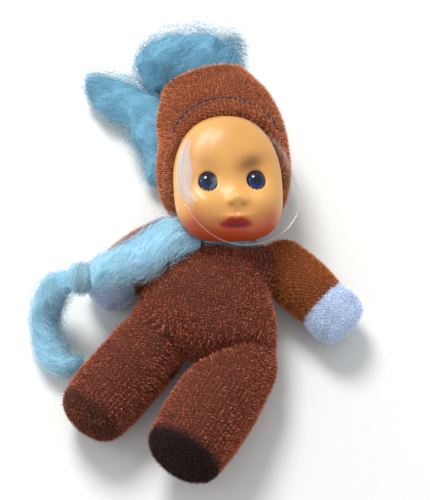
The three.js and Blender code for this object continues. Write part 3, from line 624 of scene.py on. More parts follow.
# Points on the hood at a walked distance outward from the edge of its opening, in the head's own millimetres
def hemLine(distance, fromDegrees=0, toDegrees=360, count=180, growth=0.0):
    angles = np.radians(np.linspace(fromDegrees, toDegrees, count))
    places = []
    for outward in np.linspace(0, hood["walkReach"], hood["walkSteps"]):
        reach = faceOutline(angles, hemEdge(angles) + outward)
        x, y = reach * np.cos(angles) + face["aside"], reach * np.sin(angles) + face["middle"]
        places.append(np.stack([x, y, hoodTop(x, y, growth)], 1))
    places = np.array(places)
    steps = np.linalg.norm(np.diff(places, axis=0), axis=2)
    walked = np.concatenate([[np.zeros(count)], np.cumsum(steps, axis=0)])
    return np.array([[np.interp(distance, walked[:, k], places[:, k, axis]) for axis in range(3)]
                     for k in range(count)])


def makeHood():
    cap = hoodForm(-hood["nap"])
    count = 120
    angles = np.arange(count) / count * fullTurn
    reach = faceOutline(angles, hemEdge(angles))
    ring = list(zip(reach * np.cos(angles), reach * np.sin(angles)))
    points = [(x, y, z) for z in hood["opening"] for x, y in ring]
    faces = [(k, (k + 1) % count, count + (k + 1) % count, count + k) for k in range(count)]
    faces += [tuple(range(count))[::-1], tuple(range(count, 2 * count))]
    cutAway(cap, newObject("faceBlock", placed(points, faceAt), faces))
    remeshed(cap, hood["voxel"], hood["softening"])
    # the turned hem stands a little proud, with a groove along its topstitch
    local = localPoints(cap, headAt)
    toEdge, toStitch = (np.min(np.linalg.norm(local[:, None] - line, axis=2), axis=1)
                        for line in (hemLine(0), hemLine(hood["hemWidth"], *hood["grooveTurns"])))
    proud = hood["hemThick"] * ramp(toEdge, hood["hemWidth"], hood["hemWidth"] - hood["hemFade"])
    proud -= hood["stitchGroove"] * np.exp(-(toStitch / hood["grooveWidth"]) ** 2)
    writePoints(cap, readPoints(cap) + readPoints(cap, "normal") * proud[:, None] * mm)
    wander = [hood["ribWander"] * noise.noise(Vector(p) / hood["wanderSize"]) for p in local]
    writeValues(cap, "rib", np.arctan2(local[:, 0], local[:, 2]) * hood["ribRadius"] + wander)
    fromTop = np.abs(np.degrees(np.arctan2(local[:, 1] - face["middle"], local[:, 0])) - 90)
    bare = (toStitch < hood["bareByStitch"]) & (fromTop < hood["bareTurn"])
    covered = [0 if all(bare[v] for v in polygon.vertices) else 1 for polygon in cap.data.polygons]
    writeValues(cap, "covered", covered, "FACE")
    return cap


# Stitches: short capsules laid end to end along a line, each dipping into the cloth at its ends
def makeStitchTree():
    tree, given = newGroup("stitchesAlongLine", {
        "Line": "Geometry", "Stitch pitch": "Float", "Stitch length": "Float", "Thread width": "Float",
        "Thread": "Material"})
    line = addNode(tree, "GeometryNodeMeshToCurve", {"Mesh": given["Line"]})
    spots = addNode(tree, "GeometryNodeCurveToPoints", {"Curve": line, "Length": given["Stitch pitch"]},
                    mode="LENGTH")
    capsule = addNode(tree, "GeometryNodeMeshUVSphere", {"Segments": 8, "Rings": 6, "Radius": 0.5})
    width = given["Thread width"]
    size = addNode(tree, "ShaderNodeCombineXYZ", [width, width, given["Stitch length"]])
    laid = addNode(tree, "GeometryNodeInstanceOnPoints",
                   {"Points": spots, "Instance": capsule, "Rotation": spots.outputs["Rotation"],
                    "Scale": size})
    slant = addNode(tree, "FunctionNodeRandomValue", {0: (-0.12, -0.12, 0), 1: (0.12, 0.12, 0), "Seed": 3},
                    data_type="FLOAT_VECTOR")
    turned = addNode(tree, "GeometryNodeRotateInstances", {"Instances": laid, "Rotation": slant})
    real = addNode(tree, "GeometryNodeRealizeInstances", {"Geometry": turned})
    thread = addNode(tree, "GeometryNodeSetMaterial", {"Geometry": real, "Material": given["Thread"]})
    addNode(tree, "NodeGroupOutput", [thread])
    return tree


stitchTree = makeStitchTree()
# Lower down at both sides the pile hides the hem's thread, so that its line sinks into the cloth
stitching = {
    "hem": {"pitch": 2, "length": 1.75, "width": 0.6}, "lift": 0.6, "sink": 0.6, "from": 16, "to": 160,
    "points": 160, "middle": 86, "hidden": 54, "shown": 40,
    "crown": {"pitch": 2.6, "length": 1.9, "width": 0.36}, "crownIn": 1.2, "crownFrom": -80, "crownTo": 260,
    "crownPoints": 140, "colour": "#15192B", "fleck": "#333A56", "plyPitch": 0.3,
}


def sewLine(name, points, stitch, thread):
    obj = newLine(name, placed(points, headAt))
    runGroup(obj, stitchTree, {"Stitch pitch": stitch["pitch"] * mm, "Stitch length": stitch["length"] * mm,
                               "Thread width": stitch["width"] * mm, "Thread": thread})
    obj.data.shade_smooth()
    return obj


def sewHem(thread):
    run = (stitching["from"], stitching["to"], stitching["points"])
    raised, sunk = (hemLine(hood["hemWidth"], *run, height)
                    for height in (stitching["lift"], -hood["nap"] - stitching["sink"]))
    fromMiddle = np.abs(np.linspace(*run) - stitching["middle"])
    showing = ramp(fromMiddle, stitching["hidden"], stitching["shown"])[:, None]
    return sewLine("hem_topstitch", raised * showing + sunk * (1 - showing), stitching["hem"], thread)


def sewCrown(thread):
    x, y, z, wide, deep = hood["stations"][-1]
    turns = np.radians(np.linspace(stitching["crownFrom"], stitching["crownTo"], stitching["crownPoints"]))
    wide, deep = wide - stitching["crownIn"], deep - stitching["crownIn"]
    points = [(x + wide * math.cos(turn), y, z + deep * math.sin(turn)) for turn in turns]
    return sewLine("crown_gathering", points, stitching["crown"], thread)


# Spun polyester sewing thread: two plies twisted, a dull sheen
def threadMaterial():
    material, tree, shader = newMaterial("polyesterThreadTwisted")
    place = addNode(tree, "ShaderNodeTexCoord").outputs["Object"]
    plies = addNode(tree, "ShaderNodeTexWave",
                    {"Vector": place, "Scale": waveTurn / (stitching["plyPitch"] * mm), "Distortion": 1},
                    bands_direction="DIAGONAL").outputs["Fac"]
    colour = addNode(tree, "ShaderNodeMix",
                     {0: plies, 6: linear(stitching["colour"]), 7: linear(stitching["fleck"])},
                     data_type="RGBA")
    bump = addNode(tree, "ShaderNodeBump", {"Strength": 0.6, "Distance": 0.05 * mm, "Height": plies})
    setInputs(tree, shader, {"Base Color": colour, "Normal": bump, "Roughness": 0.6})
    return material


# Soft swells and hollows of the face, as soft spots round the nose, the mouth or the middle of the face
features = {"nose": (0.8, -7.4), "mouth": (0.35, -13.5), "middle": (0, 0)}
faceSwells = {
    "nose": [(0, 0.1, 2.0, 1.8, 1.2), (0, 0.4, 3.4, 2.8, 0.8), (-0.4, 3.8, 2.4, 3, 0.3),
             (1.5, -1.6, 0.55, 0.45, -0.35), (-1.5, -1.6, 0.55, 0.45, -0.35),
             (2.2, -0.6, 1.1, 0.9, 0.45), (-2.2, -0.6, 1.1, 0.9, 0.45)],
    "mouth": [(0, 1.5, 4.2, 0.9, 0.9), (0, 0, 3.6, 0.9, -1.4), (0, -1.6, 3.1, 0.9, 1.1),
              (0.1, 2.8, 0.55, 0.9, -0.25), (1.2, 1.4, 1.0, 0.5, 0.25), (-1.2, 1.4, 1.0, 0.5, 0.25),
              (4.7, 0, 0.8, 0.7, -0.5), (-4.7, 0, 0.8, 0.7, -0.5), (0, -2.5, 2.4, 0.5, -0.3)],
    "middle": [(8.2, -8.8, 4.6, 4.4, 1.7), (-8.2, -8.8, 4.6, 4.4, 1.7), (6.45, -2, 3.5, 3.3, -1.3),
               (-6.45, -2, 3.5, 3.3, -1.3), (0, 7.5, 9, 7, 0.9)],
}


def faceRise(x, y, share):
    dome = face["depth"] * np.maximum(0, 1 - share ** face["fullness"]) ** (1 / face["squareness"])
    swell = sum(softSpots(x - features[part][0], y - features[part][1], rows)
                for part, rows in faceSwells.items())
    return dome + swell * (1 - share ** 4)


def makeFace():
    rings, sides, backRings = face["rings"], face["sides"], face["backRings"]
    angles = np.arange(sides) / sides * fullTurn
    shares = np.sin(np.linspace(0, 1, rings + 1)[1:] * math.pi / 2) ** 0.9
    reach = shares[:, None] * faceOutline(angles)
    x, y = np.append(reach * np.cos(angles), 0), np.append(reach * np.sin(angles), 0)
    z = faceRise(x, y, np.append(np.repeat(shares, sides), 0))
    # round wells for the eyes, with a rolled lid
    well, snap = face["eyeWell"], face["wellSnap"]
    for sign in bothSides.values():
        eyeX, eyeY = sign * face["eyeApart"] / 2, face["eyePlace"]
        dx, dy = x - eyeX, y - eyeY
        away = np.hypot(dx / face["eyeNarrow"], dy)
        z += face["lidRoll"] * np.exp(-((away - well - face["lidWidth"]) / face["lidWidth"]) ** 2)
        pull = np.where(np.abs(away - well) < snap, well / np.maximum(away, tiny), 1)
        x, y = eyeX + dx * pull, eyeY + dy * pull
        z = np.where(away < well - snap, z - face["wellDepth"], z)
    front = np.stack([x, y, z], 1)
    hollow, back = face["depth"] - face["hollow"], []
    for share in np.arange(backRings, 0, -1) / backRings:
        reach = share * faceOutline(angles, -face["wall"])
        deep = np.full(sides, hollow * np.maximum(0, 1 - share ** 4) ** 0.5)
        back.append(np.stack([reach * np.cos(angles), reach * np.sin(angles), deep], 1))
    points = np.vstack([front[:-1], *back, front[-1:], [(0, 0, hollow)]])
    obj = newObject("face_vinyl", placed(points, faceAt), shellFaces(rings + backRings, sides))
    paintFace(obj, points[:, 0], points[:, 1])
    return obj


# Painted mouth and blush, and painted shade on the face, as soft spots and as ramps from no paint to full
# paint
paint = {
    "lipHalf": 4.4, "lipTop": 1.5, "lipTopFall": 1.4, "lipBottom": -1.75, "lipBottomRise": 1.6,
    "bow": 0.3, "bowWidth": 0.7, "lowerLip": (-0.6, -1.1), "softness": 0.35,
    "mouthHalf": 3.4, "mouthTop": 0.45, "mouthTopFall": 0.4, "mouthBottom": -0.75, "mouthBottomRise": 0.7,
    "cheeks": [(10.2, -12, 2.4, 2.4, 0.45), (-10.2, -12, 2.4, 2.4, 0.45)],
    "mouthFlush": [(0, 0, 6, 2.6, 0.5)],
    # red toward the lower rim of the face: partly blush, partly painted shade
    "lowBlushAndShade": (-7.5, -14), "lowBlushAndShadeOut": (0.66, 1),
    # shade above the eyes: partly the doll's own paint, partly painted shade under the brow, fuller over the
    # left eye
    "lids": [(5.2, 2.6, 4, 2.5, 1), (-6, 2.6, 4, 2.5, 0.32)], "lidSlant": 0.25,
    # painted shadow under the chin, and painted shade over the upper forehead
    "chin": 0.85, "chinDown": (-11.5, -15.5), "chinOut": (0.76, 1), "forehead": 0.2, "foreheadUp": (2, 10),
    # painted shade in the nostril pits
    "nostrils": [(1.5, -1.6, 0.7, 0.5, 1), (-1.5, -1.6, 0.7, 0.5, 1)],
}


# Full between two heights, with soft edges
def paintBetween(y, bottom, top):
    soft = paint["softness"]
    return ramp(top - y, -soft, soft) * ramp(y - bottom, -soft, soft)


def paintFace(obj, x, y):
    mouthX, mouthY = x - features["mouth"][0], y - features["mouth"][1]
    out = np.abs(mouthX) / paint["lipHalf"]
    bow = paint["bow"] * np.exp(-(mouthX / paint["bowWidth"]) ** 2)
    top = paint["lipTop"] - bow - paint["lipTopFall"] * out**2.2
    bottom = paint["lipBottom"] + paint["lipBottomRise"] * out**2
    writeValues(obj, "lips", paintBetween(mouthY, bottom, top) * (out < 1))
    writeValues(obj, "lowerLip", ramp(mouthY, *paint["lowerLip"]))
    out = np.abs(mouthX) / paint["mouthHalf"]
    top = paint["mouthTop"] - paint["mouthTopFall"] * out**2
    bottom = paint["mouthBottom"] + paint["mouthBottomRise"] * out**2
    writeValues(obj, "mouth", paintBetween(mouthY, bottom, top) * (out < 1))
    radius = np.hypot(x, y) / faceOutline(np.arctan2(y, x))
    # blush on the lower cheeks and round the mouth, deepening toward the lower rim, where it is partly
    # painted shade
    blushAndRimShade = ramp(y, *paint["lowBlushAndShade"]) * ramp(radius, *paint["lowBlushAndShadeOut"])
    blushAndRimShade += softSpots(x, y, paint["cheeks"]) + softSpots(mouthX, mouthY, paint["mouthFlush"])
    writeValues(obj, "blushAndRimShade", np.clip(blushAndRimShade, 0, 1))
    # painted shadow under the chin and painted shade over the upper forehead; the shade above the eyes is
    # partly the doll's own paint, partly painted shade
    shade = paint["chin"] * ramp(y, *paint["chinDown"]) * ramp(radius, *paint["chinOut"])
    shade += paint["forehead"] * ramp(y, *paint["foreheadUp"])
    for lid in paint["lids"]:
        slant = paint["lidSlant"] * (x - lid[0]) * np.sign(lid[0])
        shade += softSpots(x, y - slant, [lid])
    writeValues(obj, "shade", np.clip(shade, 0, 1))
    # painted shade in the nostril pits
    nose = features["nose"]
    writeValues(obj, "nostril", np.clip(softSpots(x - nose[0], y - nose[1], paint["nostrils"]), 0, 1))


# Soft PVC, rotationally moulded and spray painted: warm, slightly waxy, with an even gloss.
# Each coat has its colour and its strength; the shade and nostril coats are painted shade, and the blush is
# partly painted shade toward the lower rim
faceLook = {"skin": "#EAAA5C", "mottle": 6, "grain": 0.5, "lowerLip": "#CC4020",
            "coats": {"shade": ("#6E3818", 0.8), "blushAndRimShade": ("#CC4120", 0.78), "nostril": ("#B8622C", 0.5),
                      "lips": ("#B40C02", 0.94), "mouth": ("#6A0402", 0.85)}}


def faceMaterial():
    material, tree, shader = newMaterial("softVinylMouldedPainted")
    place = addNode(tree, "ShaderNodeTexCoord").outputs["Object"]
    mottle, grain = (addNode(tree, "ShaderNodeTexNoise",
                             {"Vector": place, "Scale": 1 / (faceLook[kind] * mm), "Detail": detail})
                     for kind, detail in (("mottle", 3), ("grain", 2)))
    level = addNode(tree, "ShaderNodeMapRange", [mottle, 0.3, 0.7, 0.94, 1.05])
    colour = addNode(tree, "ShaderNodeVectorMath", {0: linear(faceLook["skin"])[:3], "Scale": level},
                     operation="SCALE")
    for name, (hexCode, strength) in faceLook["coats"].items():
        coat = linear(hexCode)
        if name == "lips":
            low = addNode(tree, "ShaderNodeAttribute", attribute_name="lowerLip").outputs["Fac"]
            coat = addNode(tree, "ShaderNodeMix", {0: low, 6: coat, 7: linear(faceLook["lowerLip"])},
                           data_type="RGBA")
        laid = addNode(tree, "ShaderNodeAttribute", attribute_name=name).outputs["Fac"]
        amount = addNode(tree, "ShaderNodeMath", [laid, strength], operation="MULTIPLY")
        colour = addNode(tree, "ShaderNodeMix", {0: amount, 6: colour, 7: coat}, data_type="RGBA")
    rough = addNode(tree, "ShaderNodeMapRange", [grain, 0.2, 0.8, 0.34, 0.44])
    setInputs(tree, shader, {"Base Color": colour, "Roughness": rough, "IOR": 1.5, "Subsurface Weight": 0.3,
                             "Subsurface Radius": (2 * mm, 1 * mm, 0.5 * mm), "Subsurface Scale": 1})
    return material


# Eyes: round polished beads set into the wells. A row of the stem is a share of the radius, and a height
eyeStem = [(1, -0.6), (1, -2.2), (0.5, -2.3)]
eyeLook = {"deep": "#060A1E", "iris": "#183680", "edge": "#060818", "fleck": "#B4C8F2",
           "fleckRings": (10, 11), "fleckEvery": 5, "flecksBelow": 0.45}


def makeEye(side):
    x, y = bothSides[side] * face["eyeApart"] / 2, face["eyePlace"]
    radius, narrow = face["eyeRadius"], face["eyeNarrow"]
    base = faceRise(x, y, math.hypot(x, y) / faceOutline(math.atan2(y, x))) - face["eyeSet"]
    sides, domeRings = 64, 16
    bow = np.arange(1, domeRings + 1) / domeRings * math.pi / 2
    profile = [*zip(np.sin(bow), face["eyeDome"] * np.cos(bow)), *eyeStem]
    turn = np.arange(sides) / sides * fullTurn
    rings = [np.stack([x + radius * share * narrow * np.cos(turn), y + radius * share * np.sin(turn),
                       np.full(sides, base + height)], 1) for share, height in profile]
    points = np.vstack([*rings, [(x, y, base + face["eyeDome"]), (x, y, base + eyeStem[-1][1])]])
    obj = newObject("eye_bead_" + side, placed(points, faceAt), shellFaces(len(profile), sides))
    dx, dy = (points[:, 0] - x) / narrow, points[:, 1] - y
    writeValues(obj, "ring", np.hypot(dx, dy) / radius)
    writeValues(obj, "low", np.clip(-dy / radius, -1, 1))
    flecks = np.zeros(len(points))
    for ring in eyeLook["fleckRings"]:
        for start in (0, 1):
            flecks[ring * sides + start:(ring + 1) * sides:eyeLook["fleckEvery"]] = 1
    writeValues(obj, "fleck", flecks * (dy < -eyeLook["flecksBelow"] * radius))
    return obj


# Acrylic bead, polished: deep navy with a bluer band low on the iris, pale flecks on the lower rim, and a
# dark outer edge that is painted shade from the socket
def eyeMaterial():
    material, tree, shader = newMaterial("acrylicPolishedNavy")
    ring, low, fleck = (addNode(tree, "ShaderNodeAttribute", attribute_name=name).outputs["Fac"]
                        for name in ("ring", "low", "fleck"))
    band = addNode(tree, "ShaderNodeMapRange", [ring, 0.3, 0.8, 0, 1], interpolation_type="SMOOTHSTEP")
    lower = addNode(tree, "ShaderNodeMapRange", [low, -0.6, 0.8, 0.15, 1])
    iris = addNode(tree, "ShaderNodeMath", [band, lower], operation="MULTIPLY")
    # painted shade from the socket: a dark ring at the outer edge
    edge = addNode(tree, "ShaderNodeMapRange", [ring, 0.86, 0.97, 0, 1])
    colour = linear(eyeLook["deep"])
    for amount, tint in ((iris, "iris"), (edge, "edge"), (fleck, "fleck")):
        colour = addNode(tree, "ShaderNodeMix", {0: amount, 6: colour, 7: linear(eyeLook[tint])},
                         data_type="RGBA")
    setInputs(tree, shader, {"Base Color": colour, "Roughness": 0.08, "IOR": 1.49})
    return material


# Clear film over the face: a thin vacuum-formed cap, tucked under the hem above and standing free below.
# Angles go round from the doll's left. A painted reflection lies as a pale band down one flank, in shares of
# the way to the edge
film = {
    "radius": 16.9, "rise": 7.8, "squareness": 4.5, "aside": 3.4, "middle": 14.3, "height": 16.2, "tilt": 7,
    "tip": 4, "wall": 0.16, "wave": 0.3, "waveSize": 5, "rings": 44, "sides": 180, "softening": 14,
    "tuckMiddle": 100, "tuckTurn": (58, 80), "freeTurn": (134, 105), "tuck": -0.4, "mostReach": 30,
    "dip": 0.9, "fall": 5, "clear": 0.5, "overHem": 1.7, "highest": 60, "lowest": -100,
    "reflectionAt": 172, "reflectionTurn": 36, "reflectionFrom": 0.755, "reflectionTo": 0.985, "reflectionTaper": 0.1,
    "reflectionFade": 0.03, "reflectionLevel": 0.5, "reflectionColour": "#D8D6D4",
    "streaks": (34, 40), "streakLevel": 0.75, "streakDepth": 0.45,
    "clearColour": "#FDFEFE", "scuff": 4, "straightOn": 0.0025, "grazing": 0.16, "rimShine": 0.55,
}


# Degrees from one angle to another, the shorter way
def degreesFrom(middle, angle):
    return (np.degrees(angle) - middle + 180) % 360 - 180


# How far out the film reaches at an angle, and how much it is tucked in there
def filmReach(angle):
    tucked = film["radius"]
    while tucked < film["mostReach"]:
        x = film["aside"] - face["aside"] + tucked * math.cos(angle)
        y = film["middle"] - face["middle"] + tucked * math.sin(angle)
        turn = math.atan2(y, x)
        if math.hypot(x, y) > faceOutline(turn, hemEdge(turn)) + film["tuck"]:
            break
        tucked += 0.1
    turn = degreesFrom(film["tuckMiddle"], angle)
    flank = 0 if turn < 0 else 1
    under = ramp(abs(turn), film["freeTurn"][flank], film["tuckTurn"][flank])
    under = under * under * (3 - 2 * under)
    return film["radius"] * (1 - under) + tucked * under, under


# The lowest that the film may lie: over the hem, and a small gap above the face and the eyes
def filmFloor(x, y, below):
    dx, dy = x - face["aside"], y - face["middle"]
    turn = np.arctan2(dy, dx)
    onHood = np.hypot(dx, dy) > faceOutline(turn, hemEdge(turn))
    floor = np.where(onHood, hoodTop(x, y) + film["overHem"], film["lowest"])
    inverse, down = headAt.inverted(), headAt.to_3x3() @ Vector((0, 0, -1))
    for obj in below:
        mesh = obj.data
        surface = BVHTree.FromPolygons([v.co for v in mesh.vertices], [p.vertices for p in mesh.polygons])
        for spot in np.ndindex(*floor.shape):
            hit = surface.ray_cast(headAt @ (Vector((x[spot], y[spot], film["highest"])) * mm), down)[0]
            if hit is not None:
                floor[spot] = max(floor[spot], (inverse @ hit).z / mm + film["clear"])
    return floor


# A painted reflection down one flank, as a pale band in streaks
def filmPaintedReflection(shares, angles):
    turn = degreesFrom(film["reflectionAt"], angles)
    way = turn / film["reflectionTurn"]
    start, end = film["reflectionFrom"] + film["reflectionTaper"] * np.abs(way), film["reflectionTo"]
    fade = film["reflectionFade"]
    paintedReflection = ramp(shares, start, start + fade) * ramp(shares, end, end - fade) * np.clip(1 - way**4, 0, 1)
    out, along = film["streaks"]
    streaks = [[noise.noise(Vector((share * out, each / along, 0))) for each in turn]
               for share in shares[:, 0]]
    return paintedReflection * (film["streakLevel"] + film["streakDepth"] * np.array(streaks))


def makeFilm(*below):
    rings, sides = film["rings"], film["sides"]
    angles = np.arange(sides) / sides * fullTurn
    reach, under = np.array([filmReach(angle) for angle in angles]).T
    shares = np.sin(np.arange(rings + 1) / rings * math.pi / 2)[:, None]
    dx, dy = shares * reach * np.cos(angles), shares * reach * np.sin(angles)
    x, y = dx + film["aside"], dy + film["middle"]
    # standing free below, and laid down to the hem above
    waves = [noise.noise(Vector((px, py, 0)) / film["waveSize"]) for px, py in zip(dx.ravel(), dy.ravel())]
    slopeX, slopeY = -math.tan(math.radians(film["tilt"])), math.tan(math.radians(film["tip"]))
    free = film["height"] + slopeX * dx + slopeY * dy + np.reshape(waves, dx.shape) * film["wave"] * shares**3
    free += film["rise"] * np.sqrt(np.maximum(0, 1 - shares ** film["squareness"]))
    top, edge = film["height"] + film["rise"], hoodTop(x[-1], y[-1]) - film["dip"]
    laid = top - (top - edge) * shares ** film["fall"]
    floor = filmFloor(x, y, below)
    z = np.maximum(free * (1 - under) + laid * under, floor)
    for _ in range(film["softening"]):
        beside = (np.roll(z, 1, 1) + np.roll(z, -1, 1)) / 2
        z[1:-1] = 0.5 * z[1:-1] + 0.25 * beside[1:-1] + 0.125 * (z[:-2] + z[2:])
        z[0] = z[1].mean()
        z[:-1] = np.maximum(z, floor)[:-1]
    z[0], z[-1] = z[0].max(), np.maximum(z[-1], floor[-1])
    points = np.stack([x, y, z], 2).reshape(-1, 3)
    points = np.vstack([points[sides:], points[:1]])
    obj = newObject("clear_cap", placed(points, headAt), shellFaces(rings, sides, closed=False))
    rim = np.zeros(z.shape)
    rim[-1] = 1 - under
    writeValues(obj, "rim", np.append(rim[1:], 0))
    # painted reflection: the pale band down one flank
    writeValues(obj, "paintedReflection", np.append(filmPaintedReflection(shares, angles)[1:], 0))
    wall = obj.modifiers.new("wall", "SOLIDIFY")
    wall.thickness, wall.offset = film["wall"] * mm, -1
    bakeModifiers(obj)
    obj.data.shade_smooth()
    return obj


# Clear PVC film, vacuum formed: see-through, with sharp reflections that grow toward its edges, and a pale
# diffuse band down one flank that is a painted reflection
def filmMaterial():
    material, tree, shader = newMaterial("clearVinylVacuumFormed")
    tree.nodes.remove(shader)
    rim, paintedReflection = (addNode(tree, "ShaderNodeAttribute", attribute_name=name).outputs["Fac"]
                 for name in ("rim", "paintedReflection"))
    place = addNode(tree, "ShaderNodeTexCoord").outputs["Object"]
    scuffs = addNode(tree, "ShaderNodeTexNoise",
                     {"Vector": place, "Scale": 1 / (film["scuff"] * mm), "Detail": 4})
    rough = addNode(tree, "ShaderNodeMapRange", [scuffs, 0.35, 0.75, 0.12, 0.26])
    dents = addNode(tree, "ShaderNodeBump", {"Strength": 0.25, "Distance": 0.2 * mm, "Height": scuffs})
    clear = addNode(tree, "ShaderNodeBsdfTransparent", {"Color": linear(film["clearColour"])})
    shine = addNode(tree, "ShaderNodeBsdfGlossy",
                    {"Color": linear("#FFFFFF"), "Roughness": rough, "Normal": dents})
    # painted reflection: a diffuse pale band laid over the film
    paintedBand = addNode(tree, "ShaderNodeBsdfDiffuse", {"Color": linear(film["reflectionColour"])})
    facing = addNode(tree, "ShaderNodeLayerWeight", {"Blend": 0.5, "Normal": dents}).outputs["Facing"]
    steep = addNode(tree, "ShaderNodeMath", [facing, 4], operation="POWER")
    amount = addNode(tree, "ShaderNodeMapRange", [steep, 0, 1, film["straightOn"], film["grazing"]])
    cut = addNode(tree, "ShaderNodeMath", [rim, film["rimShine"], amount], operation="MULTIPLY_ADD",
                  use_clamp=True)
    white = addNode(tree, "ShaderNodeMath", [paintedReflection, film["reflectionLevel"]], operation="MULTIPLY")
    glossy = addNode(tree, "ShaderNodeMixShader", [cut, clear, shine])
    mixed = addNode(tree, "ShaderNodeMixShader", [white, glossy, paintedBand])
    setInputs(tree, tree.nodes["Material Output"], {"Surface": mixed})
    return material


# Sleeves and mittens: stations are distance down the arm and radius
arm = {"sleeve": [(0, 7.6), (7.6, 8.1), (12, 7.8), (15.1, 7.35)], "sleeveDomes": (6.8, 1.2),
       "mitten": [(15.2, 7.2), (19.2, 7.95), (23.15, 7.25)], "mittenDomes": (1, 2.8),
       "nap": 0.4, "voxel": 0.6, "softening": 4, "bendReach": 5}
sleevePile = {"perSquareMm": 12, "fibreLength": 0.85, "fibreWidth": 0.17, "lean": 38, "nap": (0, 0, 0),
              "ribPitch": 1.2, "ribDepth": 0.15}
sleeveLook = {"root": "#98501F", "tip": "#DA823E", "glint": "#F4C89C", "glintFrom": 0.93,
              "uneven": (0.8, 1.18), "sole": 0, "patch": 8, "ribPitch": 1.2, "ribShade": 0.12,
              "roughness": 0.6, "sheen": 0.05, "specular": 0.2}
mittenPile = {"perSquareMm": 13, "fibreLength": 0.8, "fibreWidth": 0.18, "lean": 36, "nap": (0, 0, 0),
              "ribPitch": 1.15, "ribDepth": 0.25}
mittenLook = {"root": "#C2D6F4", "tip": "#EEF6FF", "glint": "#FFFFFF", "glintFrom": 0.85,
              "uneven": (0.85, 1.12), "sole": 0, "patch": 6, "ribPitch": 1.15, "ribShade": 0.16,
              "roughness": 0.65, "sheen": 0.2, "specular": 0.3}


def makeArmPiece(name, kind, at):
    stations = [(0, -place, 0, radius, radius) for place, radius in arm[kind]]
    obj = stuffedForm(name, stations, arm[kind + "Domes"], 24, 64, -arm["nap"], at)
    remeshed(obj, arm["voxel"], arm["softening"])
    local = localPoints(obj, at)
    writeValues(obj, "rib", np.arctan2(local[:, 0], local[:, 2]) * arm[kind][1][1])
    writeValues(obj, "covered", [1] * len(obj.data.polygons), "FACE")
    return obj


# One strand of wool: how far strays stand out, how it rolls, and how its ends thin out
strand = {"stray": 0.3, "strayPower": 16, "roll": 40, "endThin": 0.8, "noiseWay": (3.1, 1.7, 2.3)}


